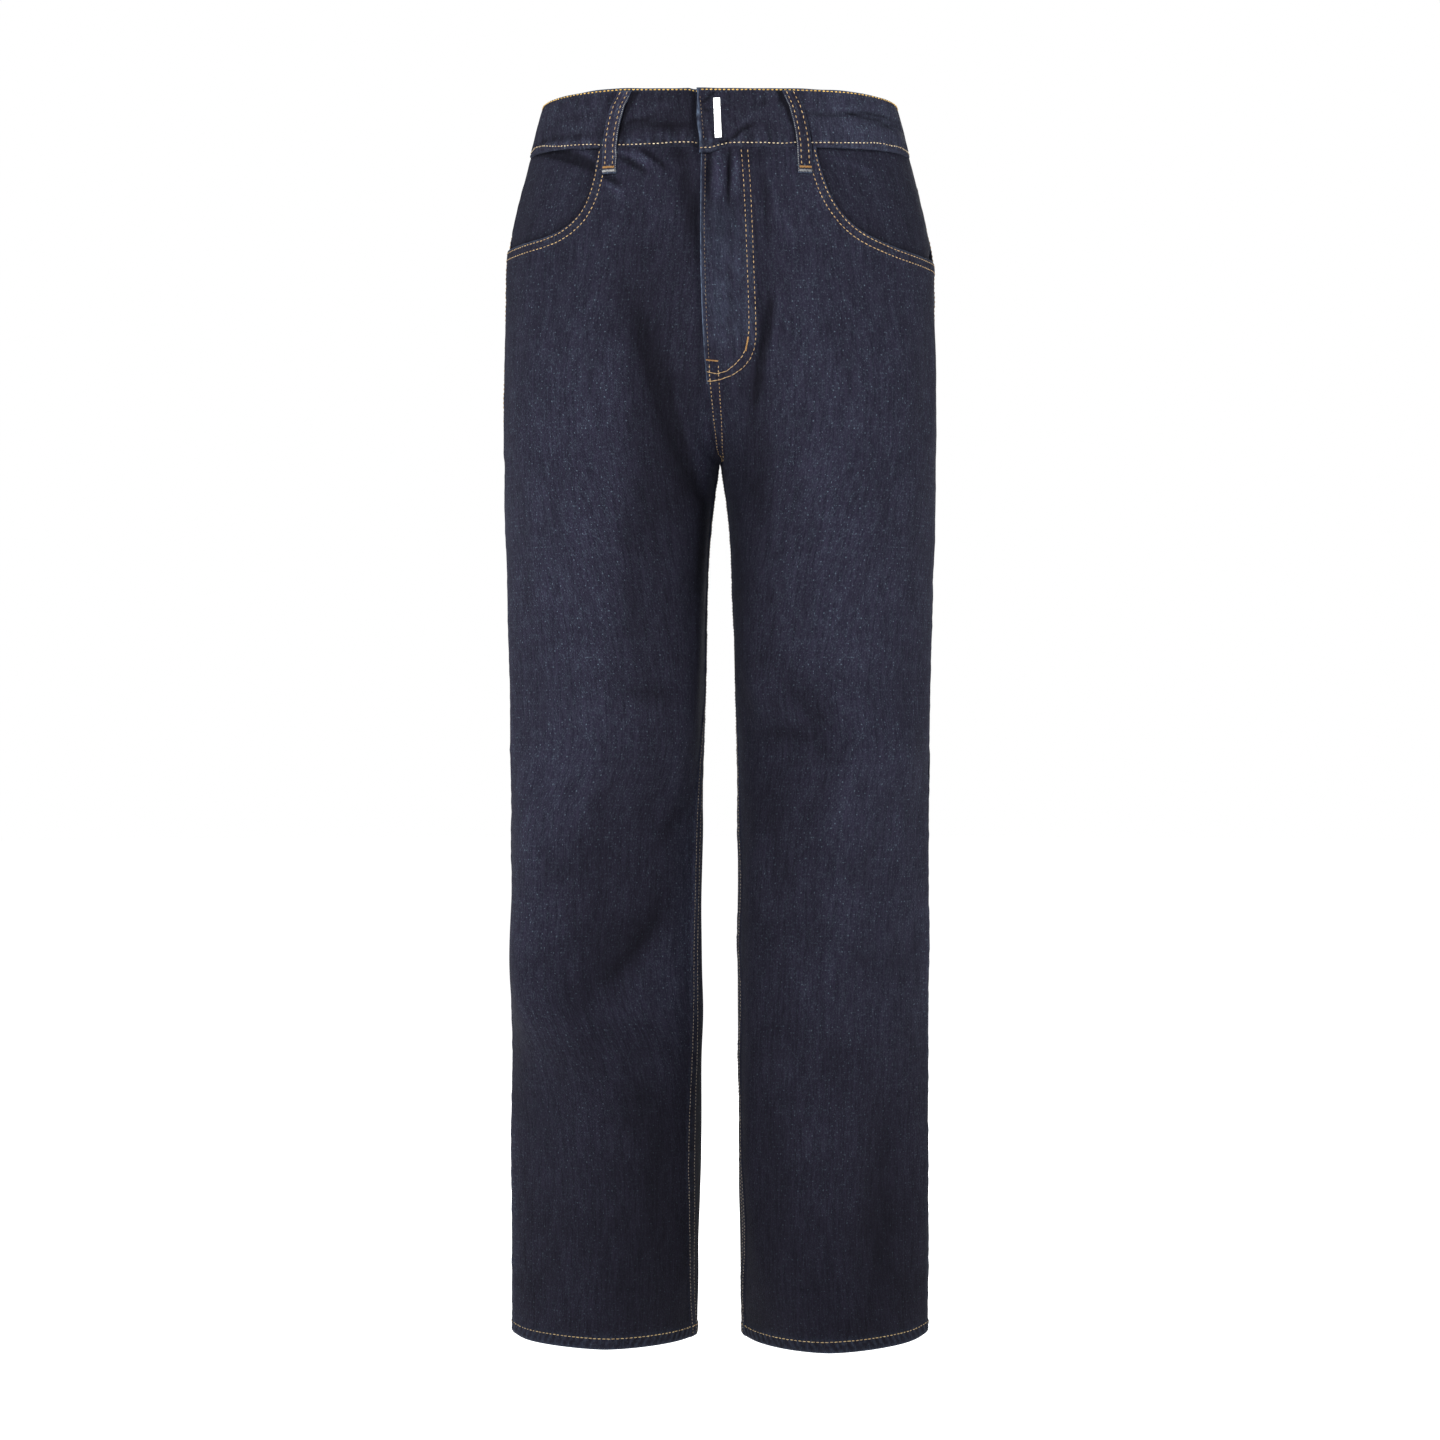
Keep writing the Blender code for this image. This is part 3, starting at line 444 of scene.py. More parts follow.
# Paler and darker spots of the fronts beside that, mostly painted light and shade over folds and hollows, a
# few pale streaks of wear by the fly: middle, reach to the side and up, and how much
LIGHT_AND_WEAR_SPOTS = table(
    "x z side up wash",
    (-5, -284, 17, 34, 0.50), (10, -242, 18, 24, 0.22), (8, -200, 15, 16, 0.20), (-9, -256, 8, 26, 0.40),
    (30, -190, 8, 22, 0.20), (-17, -76, 7, 30, -0.16), (-38, -29, 16, 7, -0.30),
    (-70, -138, 22, 40, -0.14), (88, -128, 26, 40, -0.08), (-54, -310, 16, 50, -0.12),
    (-116, -450, 14, 90, -0.10), (48, -560, 20, 34, -0.12), (92, -512, 16, 14, 0.18),
    (33, -282, 12, 50, -0.14), (-44, -738, 13, 62, 0.24), (-82, -745, 18, 16, 0.20),
    (-76, -820, 18, 34, -0.14), (134, -566, 18, 36, -0.12), (104, -920, 24, 60, 0.10),
    (150, -700, 14, 60, -0.10), (1, -50, 3.2, 14, 0.34), (13.5, -40, 2.8, 11, 0.24),
    (1, -92, 13, 18, -0.24), (16, -34, 9, 9, -0.18), (3.3, -150, 1.8, 30, 0.24),
    (14, -126, 3.6, 17, 0.24), (8.4, -140, 2.0, 40, -0.12), (-6, -128, 5, 18, 0.14),
    (48, -70, 12, 26, -0.12), (38, -30, 20, 7, -0.22), (-66, -76, 14, 24, -0.08))

# How far the two rows of stitches along each inseam lie from the leg's inner side, seen from the front
INSEAM_ROWS = table(
    "height right_near right_far left_near left_far",
    (-284, -1.0, -1.0, -1.0, -1.0), (-455, -1.0, -1.0, -1.0, -1.0), (-500, -0.2, 0.8, -0.4, 0.1),
    (-539, 0.6, 2.7, 0.2, 0.8), (-594, 2.2, 4.9, 0.5, 1.6), (-642, 3.2, 6.2, 1.2, 2.8),
    (-690, 4.2, 7.2, 0.3, 1.2), (-737, 4.6, 7.8, 1.2, 2.8), (-785, 4.8, 8.8, 0.6, 1.7),
    (-831, 6.0, 10.6, 0.8, 2.2), (-878, 6.6, 11.6, 1.2, 2.8), (-927, 5.4, 10.0, 2.4, 4.2),
    (-974, 3.8, 7.8, 0.9, 2.4), (-1025, 1.4, 4.4, 0.3, 1.4))

# Pocket mouths as four Bezier points: distance round from the centre front, and height
MOUTHS = {
    1: ((81.0, -24.5), (93.0, -79.5), (111.0, -114.0), (245.0, -106.0)),
    -1: ((103.5, -24.5), (113.5, -92.0), (127.5, -101.0), (245.0, -96.0))}


def smooth(edge, width, value):
    """0 before edge, 1 past edge + width, and a soft step between."""
    step = np.clip((value - edge) / width, 0, 1)
    return step * step * (3 - 2 * step)


def until(edge, width, value):
    """1 before edge, 0 past edge + width, and a soft step between."""
    return 1 - smooth(edge, width, value)


def close_to(distance, reach):
    """1 at no distance, and fading with it."""
    return np.exp(-distance / reach)


def bell(value, middle, reach):
    """1 at the middle, fading softly on both sides of it."""
    return np.exp(-((value - middle) / reach)**2)


def along(rows, column, at):
    """The value of a table's column at the given heights, on a smooth curve through its rows."""
    heights, values = rows["height"], rows[column]
    slopes = np.gradient(values, heights)
    at = np.clip(at, heights[0], heights[-1])
    row = np.clip(np.searchsorted(heights, at) - 1, 0, len(heights) - 2)
    span = heights[row + 1] - heights[row]
    t = (at - heights[row]) / span
    start = (2 * t**3 - 3 * t**2 + 1) * values[row] + (t**3 - 2 * t**2 + t) * span * slopes[row]
    end = (3 * t**2 - 2 * t**3) * values[row + 1] + (t**3 - t**2) * span * slopes[row + 1]
    return start + end


def crease(side, behind, height):
    """How far a leg's section leans its front or back crease towards the other leg."""
    word = "left" if side > 0 else "right"
    return np.where(behind, along(CREASE, f"back_{word}", height), along(CREASE, f"front_{word}", height))


def ring(side, behind, height):
    """Half rings of the skin, from the middle plane or the inseam out to the outseam: x, y, length."""
    outer = along(SECTIONS, "outer", height)
    depth = np.where(behind, along(SECTIONS, "back", height), -along(SECTIONS, "front", height))
    squareness = along(SECTIONS, "squareness", height)
    joined = height > INNER["height"][-1]
    inner = np.where(joined, -outer, np.maximum(along(INNER, "inner", height), -outer))
    cleft = np.where(joined, 0, np.maximum(along(INNER, "cleft", height), 0))
    centre, half = (outer + inner) / 2, (outer - inner) / 2
    start = (np.maximum(inner, cleft) - centre) / half
    first = np.arccos(np.clip(np.sign(start) * np.abs(start)**(squareness / 2), -1, 1))
    angle = first[:, None] * np.linspace(1, 0, RING_STEPS)
    power = (2 / squareness)[:, None]
    across = np.sign(np.cos(angle)) * np.abs(np.cos(angle))**power
    x = centre[:, None] + half[:, None] * across - crease(side, behind, height)[:, None] * (1 - across**2)
    y = depth[:, None] * np.abs(np.sin(angle))**power
    x = np.sqrt(np.maximum(x**2 - (cleft**2)[:, None], 0))
    steps = np.hypot(np.diff(x), np.diff(y))
    return x, y, np.concatenate([np.zeros((len(height), 1)), np.cumsum(steps, axis=1)], axis=1)


def girth(side, behind, height):
    """Length of a half ring of the front or back at the given heights."""
    height = np.asarray(height, float)
    heights, place = np.unique(height.ravel(), return_inverse=True)
    lengths = ring(side, np.full(len(heights), behind), heights)[2][:, -1]
    return lengths[place].reshape(height.shape)


def fold_height(x, z, behind, sharp=False):
    """How far the folds lift the cloth at the points x, z, or, with sharp, how steeply, for their painted
    shade.
    """
    lift = np.zeros(len(x))
    t = np.linspace(0, 1, FOLD_STEPS)
    for face, x_top, z_top, x_mid, z_mid, x_foot, z_foot, reach, height in zip(*FOLDS.values()):
        room = 3 * reach
        near = (behind == (face == BACK_FACE)) & (z < max(z_top, z_mid, z_foot) + room)
        near &= (z > min(z_top, z_mid, z_foot) - room) & (x > min(x_top, x_mid, x_foot) - room)
        near = np.flatnonzero(near & (x < max(x_top, x_mid, x_foot) + room))
        line_x = (1 - t)**2 * x_top + 2 * t * (1 - t) * x_mid + t**2 * x_foot
        line_z = (1 - t)**2 * z_top + 2 * t * (1 - t) * z_mid + t**2 * z_foot
        apart = np.hypot(x[near, None] - line_x, z[near, None] - line_z)
        fade = np.sin(math.pi * (0.08 + 0.84 * t[apart.argmin(axis=1)]))
        lift[near] += (height / reach if sharp else height) * fade * bell(apart.min(axis=1), 0, reach)
    return lift


def skin(side, turn, height):
    """Points of the skin of one side (+1 left, -1 right).

    turn runs from 0 at the centre front or inseam over 1 at the outseam to 2 at the centre back.
    """
    past = (turn < 0) | (turn > 2)
    inside = np.where(turn < 0, -turn, np.where(turn > 2, 4 - turn, turn))
    behind = inside > 1
    share = np.where(behind, 2 - inside, inside)
    ring_x, ring_y, length = ring(side, behind, height)
    target = share * length[:, -1]
    step = np.clip((length <= target[:, None]).sum(axis=1) - 1, 0, RING_STEPS - 2)
    row = np.arange(len(target))
    t = (target - length[row, step]) / np.maximum(length[row, step + 1] - length[row, step], 1e-9)
    x = ring_x[row, step] + t * (ring_x[row, step + 1] - ring_x[row, step])
    y = ring_y[row, step] + t * (ring_y[row, step + 1] - ring_y[row, step])
    x = np.where(past & (height > CROTCH), -x, x)
    y = np.where(past & (height <= CROTCH), -y, y)
    x = side * (x + SEAM_GAP / 2)
    depth = np.where(y > 0, along(SECTIONS, "back", height), along(SECTIONS, "front", height))
    y = y * (1 + fold_height(x, height, y > 0) / depth)
    return np.stack([x, y, height], axis=1)


def off_skin(side, turn, height, lift):
    """Points that stand off the skin by lift, square to it."""
    step = 0.4
    above = np.where((height <= CROTCH) & (height + step > CROTCH), height, height + step)
    below = np.where((height > CROTCH) & (height - step <= CROTCH), height, height - step)
    across = skin(side, turn + 0.004, height) - skin(side, turn - 0.004, height)
    normal = side * np.cross(across, skin(side, turn, above) - skin(side, turn, below))
    normal /= np.linalg.norm(normal, axis=1)[:, None]
    return skin(side, turn, height) + normal * np.reshape(lift, (-1, 1))


def ripple(at, seed, shortest=7.0):
    """An uneven wave along a seam, about -1 to 1, for its puckers."""
    draw = np.random.default_rng(seed)
    waves = shortest * np.array([1.0, 1.43, 2.1, 3.3])
    phases = draw.uniform(0, math.tau, 4)
    return sum(np.sin(math.tau * at / wave + phase) for wave, phase in zip(waves, phases)) / 2.4


def waver(x, z, seed):
    """The soft unevenness of pressed cloth, about a millimetre, longer up the cloth than across."""
    draw = np.random.default_rng(seed)
    total = np.zeros(np.shape(x))
    for _ in range(14):
        wave = draw.uniform(26, 95)
        turned = draw.uniform(-1.1, 1.1)
        phase = draw.uniform(0, math.tau)
        place = x * math.cos(turned) + 0.6 * z * math.sin(turned)
        total += wave / 90 * np.sin(math.tau * place / wave + phase)
    return WEAVE_PLAY * total


def close_ends(count, pull=0.55):
    """Shares from 0 to 1 that lie closer together near both ends."""
    share = np.linspace(0, 1, count + 1)
    return share - pull * np.sin(math.tau * share) / math.tau


trees = {}


def lay_cloth(name, side, across, down, chart, shape, finish, start, nodes):
    """A cloth piece: a flat grid with a thickness, laid on the skin.

    chart turns shares across and down the piece into turn and height. shape turns those into how
    far the piece stands off the skin, its thickness, its wear with some painted light, and how bright
    its fade and painted light and shade leave it. The cloth's own width is measured from the share start of
    each row.
    """
    columns, rows = len(across) - 1, len(down) - 1
    box = bmesh.new()
    bmesh.ops.create_grid(box, x_segments=columns, y_segments=rows, size=0.5)
    raised = bmesh.ops.extrude_face_region(box, geom=box.faces[:])["geom"]
    bmesh.ops.translate(box, vec=(0, 0, 1), verts=[v for v in raised if isinstance(v, bmesh.types.BMVert)])
    bmesh.ops.recalc_face_normals(box, faces=box.faces[:])
    mesh = bpy.data.meshes.new(name)
    box.to_mesh(mesh)
    box.free()

    flat = np.empty(len(mesh.vertices) * 3)
    mesh.vertices.foreach_get("co", flat)
    flat = flat.reshape(-1, 3)
    column = np.rint((flat[:, 0] + 0.5) * columns).astype(int)
    row = np.rint((flat[:, 1] + 0.5) * rows).astype(int)
    grid_across, grid_down = (part.ravel() for part in np.meshgrid(across, down))
    turn, height = chart(grid_across, grid_down)
    stand, wall, worn, wash = shape(turn, height)
    places = skin(side, turn, height).reshape(rows + 1, columns + 1, 3)
    normal = side * np.cross(np.gradient(places, axis=1), -np.gradient(places, axis=0))
    normal = (normal / np.linalg.norm(normal, axis=2)[:, :, None]).reshape(-1, 3)
    outer = places.reshape(-1, 3) + normal * stand[:, None]
    inner = outer - normal * np.reshape(wall, (-1, 1))
    number = row * (columns + 1) + column
    solid = np.where(flat[:, 2:] > 0.5, outer[number], inner[number]) * MM

    levels = np.empty(len(mesh.polygons) * 3)
    mesh.polygons.foreach_get("center", levels)
    mesh.polygons.foreach_set("material_index", (levels.reshape(-1, 3)[:, 2] < 0.25).astype(np.int32))
    mesh.vertices.foreach_set("co", solid.ravel())
    width = np.hypot(*np.moveaxis(np.diff(places, axis=1), 2, 0)[:2]).cumsum(axis=1)
    width = np.concatenate([np.zeros((rows + 1, 1)), width], axis=1)
    width -= width[:, [int(round(start * columns))]]
    chart_place = np.stack([width.ravel(), height], axis=1) * MM
    corners = np.empty(len(mesh.loops), np.int32)
    mesh.loops.foreach_get("vertex_index", corners)
    mesh.uv_layers.new(name="cloth").data.foreach_set("uv", chart_place[number][corners].ravel())
    for word, values in (("worn", worn), ("wash", wash)):
        spread = np.clip(np.broadcast_to(values, len(turn)), 0, 1)[number]
        mesh.attributes.new(word, "FLOAT", "POINT").data.foreach_set("value", spread)
    mesh.update()
    turned = bmesh.new()
    turned.from_mesh(mesh)
    if turned.calc_volume(signed=True) < 0:
        bmesh.ops.reverse_faces(turned, faces=turned.faces[:])
        turned.to_mesh(mesh)
    trees[name] = BVHTree.FromBMesh(turned)
    turned.free()
    mesh.shade_smooth()
    mesh.set_sharp_from_angle(angle=SHARP_ANGLE)
    mesh.materials.append(finish)
    mesh.materials.append(reverse_denim)
    piece = link(bpy.data.objects.new(name, mesh))
    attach(piece, "root")
    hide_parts(*nodes)
    return piece


def band_seam(turn):
    """Height of the seam under the waistband."""
    front = (SIDE_BAND_SEAM - FRONT_BAND_SEAM) * np.clip(turn, 0, 1)**2
    return FRONT_BAND_SEAM + front + (BACK_BAND_SEAM - SIDE_BAND_SEAM) * smooth(1, 1, turn)


def lap_turn(height):
    """The left front's edge, as a share of the half front past the middle."""
    past = np.where(height > CROTCH, along(LAP, "past_centre", height), 0)
    return past / girth(1, False, height)


def bezier(points, t):
    """Points on a Bezier curve of four points."""
    first, second, third, last = (np.array(point) for point in points)
    t = np.reshape(t, (-1, 1))
    return (1 - t)**3 * first + 3 * t * (1 - t)**2 * second + 3 * t**2 * (1 - t) * third + t**3 * last


def mouth_line(side, inset=0.0, count=160):
    """The pocket mouth, or a line inset from it into the front, as distance round and height."""
    line = bezier(MOUTHS[side], np.linspace(0, 1, count))
    ahead = np.gradient(line, axis=0)
    ahead /= np.linalg.norm(ahead, axis=1)[:, None]
    return line + inset * np.stack([ahead[:, 1], -ahead[:, 0]], axis=1)


def hem_lift(side, turn):
    """How far the hem's edge lies above its level: a little at the outseams, and less in front."""
    corner = 2.8 * bell(turn, 1, 0.10) + 0.8 * bell(np.minimum(turn, 2 - turn), 0, 0.12)
    return corner - (2.6 if side > 0 else -0.5) * np.sin(math.pi * np.clip(turn, 0, 1))


def hem_shape(height, at):
    """The turned-up hem: how far it stands out, how thick and how worn it is."""
    above = height - HEM
    turned = until(HEM_HEIGHT - 1, 1.6, above)
    roping = np.sin(math.tau * (at / 6.8 + above / 15) + 0.6 * ripple(at, 5, 19))
    roping *= turned * smooth(0, 3, above)
    stand = 0.55 * turned + 0.34 * roping - 0.9 * until(0, 1.6, above)
    worn = 0.35 * close_to(above, 0.8) + 0.06 * close_to(np.abs(above - HEM_HEIGHT), 1.2)
    return stand, turned, worn + 0.10 * np.maximum(roping, 0)


def panel_heights():
    """Shares down a panel: 0 to 1 from its top edge to SETTLE, then on to 2 at the hem."""
    leg = np.concatenate([np.arange(SETTLE, HEM + 13, -LEG_STEP)[1:], HEM + np.array(HEM_ROWS)])
    return np.concatenate([np.linspace(0, 1, 68)**1.35, 1 + (SETTLE - leg) / (SETTLE - HEM)])


def down_to_hem(top, down):
    """Height at a share down a panel whose top edge is at the given heights."""
    settling = top + (SETTLE - top) * np.minimum(down, 1)
    return np.where(down < 1, settling, SETTLE + (HEM - SETTLE) * (down - 1))


def lift_hem(side, turn, height, share=1):
    """Heights moved with the hem's line, over the foot of the leg."""
    return height + share * hem_lift(side, turn) * smooth(HEM + 70, -70, height)


def inseam_rows(side):
    """Heights down the leg, and how far round from the inseam its two rows of stitches lie there."""
    word = "left" if side > 0 else "right"
    heights, spots = np.linspace(CROTCH - 6, HEM + 3, 110), np.linspace(0, 0.34, 100)
    inner = np.array([np.abs(skin(side, spots, np.full(100, height))[:, 0]) for height in heights])
    inner = np.maximum.accumulate(inner - inner.min(axis=1)[:, None], axis=1) + spots * 0.01
    rows = []
    for place in ("near", "far"):
        inset = np.interp(heights, INSEAM_ROWS["height"], INSEAM_ROWS[f"{word}_{place}"])
        turns = np.array([np.interp(x, row, spots) for x, row in zip(inset, inner)])
        rows.append(turns * girth(side, False, heights))
    near = np.maximum(rows[0], INSEAM_EDGE)
    far = np.maximum(rows[1], near + INSEAM_APART)
    return heights[::-1], near[::-1], far[::-1]


def seam_groove(apart, depth=0.7, width=1.5):
    """Cloth that rolls in towards a seam or an edge."""
    return -depth * until(0, width, apart)


def side_seam(height, from_side, seed):
    """How far cloth stands out beside a side seam, and how worn it is there."""
    puckers = ripple(height, seed, 11)
    stand = 0.35 * until(8, 5, from_side) + 0.3 * puckers * close_to(from_side, 7)
    worn = 0.30 * close_to(np.abs(from_side - 2.5), 1.6) * (0.6 + 0.5 * puckers)
    return stand + seam_groove(from_side), worn


def band_puckers(at, seed, below):
    """Puckers of cloth that is caught in the waistband, fading with the distance below it."""
    return 0.35 * ripple(at, seed, 8) * close_to(np.maximum(below, 0), 8)


def painted_fold_shade(places):
    """Painted shade and light over the folds at points of the skin: darker in troughs, lighter on ridges,
    most where steep.
    """
    return FOLD_PAINTED_SHADE * fold_height(places[:, 0], places[:, 2], places[:, 1] > 0, True)


def front_light_and_wash(side, word, places, from_side, seed):
    """How bright a front is painted: bright outside and dim inside as the lights fall, a painted highlight
    along the outer edge, painted shade over the folds, and painted spots.
    """
    height = places[:, 2]
    outside = side * (places[:, 0] - along(FRONT_LIGHT_AND_WASH, f"line_{word}", height))
    # A painted highlight along the outer edge, where the side turns to the lights
    if side > 0:
        lit = smooth(-800, 100, height)
    else:
        lit = 1 - 0.8 * bell(height, -775, 60) + 0.5 * bell(height, -300, 120)
    bright = along(FRONT_LIGHT_AND_WASH, f"bright_{word}", height) + 0.42 * lit * bell(from_side, 0, 14)
    dim = along(FRONT_LIGHT_AND_WASH, "dim", height)
    parted = 0.4 * smooth(-7, 12, outside + 3 * ripple(height, seed, 21)) + 0.6 * smooth(0, 42, outside)
    wash = dim + (bright - dim) * parted + painted_fold_shade(places)
    # Spots painted paler or darker: mostly painted light and shade, a few pale streaks of wear by the fly
    for x, z, reach_side, reach_up, change in zip(*LIGHT_AND_WEAR_SPOTS.values()):
        wash += change * bell(places[:, 0], x, reach_side) * bell(height, z, reach_up)
    return wash


def make_front(side, word, seed):
    """One front with its pocket mouth, fly or underlap, felled seams and hem."""
    mouth = mouth_line(side)
    mouth_turn = mouth[:, 0] / girth(side, False, mouth[:, 1])
    mouth_turn /= mouth_turn[-1]
    run = np.concatenate([[0], np.cumsum(np.hypot(*np.diff(mouth, axis=0).T))])
    corner = 0.36 if side > 0 else 0.40
    row_heights, near_rows, far_rows = inseam_rows(side)

    def start_of(height):
        under = UNDERLAP * smooth(UNDERLAP_FOOT, 26, height) * (side < 0) / girth(side, False, height)
        return -side * lap_turn(height) + SEAM_GAP / 2 / girth(side, False, height) - under

    def chart(across, down):
        first = start_of(np.full(len(across), FRONT_BAND_SEAM))
        on_mouth = np.clip((across - corner) / (1 - corner), 0, 1)
        top_turn = np.where(across < corner, first + (mouth_turn[0] - first) * across / corner,
                            np.interp(on_mouth * run[-1], run, mouth_turn))
        under_band = band_seam(np.maximum(top_turn, 0)) - SEAM_GAP / 2
        top = np.where(across < corner, under_band, np.interp(on_mouth * run[-1], run, mouth[:, 1]))
        height = down_to_hem(top, down)
        gap = SEAM_GAP / 2 / girth(side, False, height)
        settled = start_of(height) + (1 - gap - start_of(height)) * across
        turn = settled + (top_turn - settled) * (1 - np.clip(down, 0, 1))**1.5
        turn = np.minimum(turn, 1 - gap)
        return turn, lift_hem(side, turn, height)

    def shape(turn, height):
        around = girth(side, False, height)
        at = turn * around
        from_side = (1 - turn) * around
        from_edge = at + side * lap_turn(height) * around
        to_mouth = np.full(len(turn), 99.0)
        near = np.flatnonzero(height > -150)
        to_mouth[near] = np.hypot(at[near, None] - mouth[:, 0], height[near, None] - mouth[:, 1]).min(axis=1)
        hem, turned, worn = hem_shape(lift_hem(side, turn, height, -1), at)
        stand = hem + waver(side * at, height, seed) * smooth(0, 30, height - HEM)

        leg = smooth(-CROTCH, 14, -height)
        near_row, far_row = (np.interp(height, row_heights, row) for row in (near_rows, far_rows))
        fell = until(far_row + 1.9, 2.2, from_edge) * smooth(near_row - 4.6, 1.4, from_edge)
        stand += leg * (fell * (0.9 + 0.22 * ripple(height, seed + 1)) + seam_groove(from_edge))
        worn += leg * 0.03 * fell * (1 + ripple(height, seed + 1))
        side_stand, side_worn = side_seam(height, from_side, seed + 2)
        stand += side_stand
        worn += side_worn

        facing = until(9.8, 2.4, to_mouth)
        stand += facing * (0.55 + 0.16 * ripple(at, seed + 3)) + seam_groove(to_mouth, 0.8, 1.3)
        worn += 0.6 * close_to(to_mouth, 0.9) + 0.02 * facing * (1 + ripple(at, seed + 3))
        stand += band_puckers(at, seed + 4, band_seam(np.maximum(turn, 0)) - height)

        if side > 0:
            trunk = smooth(CROTCH, 12, height)
            on_fly = until(along(FLY, "outer", height) - 0.4, 2.2, at) * smooth(FLY_FOOT, 3, height)
            seam = until(12.0, 2.0, from_edge) * (1 - on_fly) * trunk
            stand += on_fly * (0.8 + 0.14 * ripple(height, seed + 5, 9)) + seam * 0.8
            stand += trunk * seam_groove(from_edge, 0.8, 1.4)
            worn += trunk * 0.8 * close_to(from_edge, 0.35)
            patch = smooth(-194, 12, height) * until(-104, 60, height) * on_fly
            aslant = height + 0.9 * at + 7 * ripple(at, seed + 9, 12)
            worn += 0.04 * patch * (1 + 0.6 * ripple(aslant, seed + 6, 19) + 0.5 * ripple(at, seed + 7, 9))
        else:
            beside = at - lap_turn(height) * around
            stand -= (DENIM + 0.5) * smooth(-230, 20, height) * until(1.0, 6.0, beside)
            stand += 0.5 * bell(beside, 8, 4) * smooth(CROTCH, 20, height)
        wash = front_light_and_wash(side, word, skin(side, turn, height), from_side, seed + 8)
        # Painted light along the inner edge of the leg, which turns away from the lights, partly in the
        # rubbed colour
        reach, inner_painted_light, inner_painted_rub = INNER_EDGE_LIGHT[side]
        inner = leg * smooth(-790, 150, height) * bell(from_edge, 0, reach)
        wash += inner_painted_light * inner
        worn += inner_painted_rub * inner
        if side > 0:
            wash += 0.24 * patch
        else:
            # Painted light in the rubbed colour along the right front's outer edge, high on the thigh
            worn += 0.05 * bell(from_side, 0, 12) * bell(height, -305, 95)
        return stand, DENIM * (1 + turned), worn, wash

    across = np.sort(np.concatenate([close_ends(130), [0.0012, 0.003, 0.997, 0.9988]]))
    return lay_cloth(f"front_{word}_cloth", side, across, panel_heights(), chart, shape,
                     panel_denim, 1, [f"front_{word}"])


for side, word in SIDES:
    front = make_front(side, word, 20 if side > 0 else 40)

# ---------------------------------------------------------------------------------------------
# Pocket facings. The cut of denim that shows behind each scooped mouth. It is caught in the
# waistband and comes out flush to the side seam above the mouth's end.
# ---------------------------------------------------------------------------------------------
FACING_MARGIN = 20.0
FACING_SINK = 1.4
FACING_RISE = 3.0


def make_facing(side, word, seed):
    """The denim behind one pocket mouth."""
    mouth, mouth_end = mouth_line(side), MOUTHS[side][3][1]
    start = (MOUTHS[side][0][0] - FACING_MARGIN) / girth(side, False, FRONT_BAND_SEAM)

    def chart(across, down):
        end = 1 - SEAM_GAP / 2 / girth(side, False, -50.0)
        turn = start + (end - start) * across
        top = band_seam(turn) - SEAM_GAP / 2 + FACING_RISE * until(0.84, 0.08, turn)
        return turn, top + (mouth_end - FACING_MARGIN - top) * down

    def shape(turn, height):
        around = girth(side, False, height)
        at, from_side = turn * around, (1 - turn) * around
        risen = smooth(0.8, 0.2, turn) * smooth(mouth_end + 3, 13, height)
        stand = -(DENIM + FACING_SINK) * (1 - risen) + 0.5 * waver(at, height, seed)
        stand += 0.4 * risen * ripple(height, seed, 12) * close_to(from_side, 9) + seam_groove(from_side)
        stand += band_puckers(at, seed + 1, band_seam(turn) - height)
        apart = np.hypot(at[:, None] - mouth[:, 0], height[:, None] - mouth[:, 1]).min(axis=1)
        # The facing's level, with a painted shadow beside the pocket mouth's edge, painted light along the
        # side seam, and painted shade over the folds
        wash = (0.52 if side > 0 else 0.46) - 0.4 * close_to(apart, 3.5) + 0.26 * bell(from_side, 0, 9)
        wash += painted_fold_shade(skin(side, turn, height))
        return stand, DENIM, 0.2 * close_to(np.abs(from_side - 2.0), 1.4), wash

    return lay_cloth(f"pocket_facing_{word}_cloth", side, close_ends(64, 0.3), close_ends(48, 0.3),
                     chart, shape, facing_denim, 1, [f"pocket_facing_{word}"])


for side, word in SIDES:
    facing = make_facing(side, word, 60 if side > 0 else 66)

# ---------------------------------------------------------------------------------------------
# Backs and yokes. Two denim panels behind, each under a yoke that is deeper at the centre back.
# The seat seam and the yoke seams are felled and topstitched twice.
# ---------------------------------------------------------------------------------------------
SIDE_YOKE_SEAM = -50.0
BACK_YOKE_SEAM = -76.0
SEAT_LAP = 0.5
BACK_SEEDS = {1: 80, -1: 100}


def yoke_seam(turn):
    """Height of the seam under the yoke, which drops from the side to the centre back."""
    return SIDE_YOKE_SEAM + (BACK_YOKE_SEAM - SIDE_YOKE_SEAM) * (turn - 1)


def seat_lap(side, height):
    """How far, in turns, the left side's cloth runs over the right one's at the seat seam."""
    return (side > 0) * SEAT_LAP * smooth(CROTCH + 4, 16, height) / girth(side, True, height)


def back_stand(side, turn, height, seed):
    """What the yoke and the back share: the side seam, the seat seam and the cloth's unevenness."""
    around = girth(side, True, height)
    from_side, from_middle = (turn - 1) * around, (2 - turn) * around
    stand, worn = side_seam(height, from_side, seed + 2)
    stand += waver(-side * (2 - turn) * around, height, seed) * smooth(0, 30, height - HEM)
    fell = until(10.8, 2.0, from_middle) * (side > 0) * smooth(CROTCH, 8, height)
    stand += fell * (0.85 + 0.2 * ripple(height, seed + 3))
    worn += 0.2 * fell * np.maximum(ripple(height, seed + 3), 0)
    return stand + seam_groove(from_middle), worn + 0.12 * close_to(from_middle, 1.5)


def back_wash(turn, height):
    """How bright the wash has left the back: most on the seat and the backs of the thighs."""
    middle = bell(turn, 1.52, 0.26)
    return 0.2 + 0.45 * middle * smooth(-900, 420, height) * (1 - 0.3 * smooth(-60, 50, height))


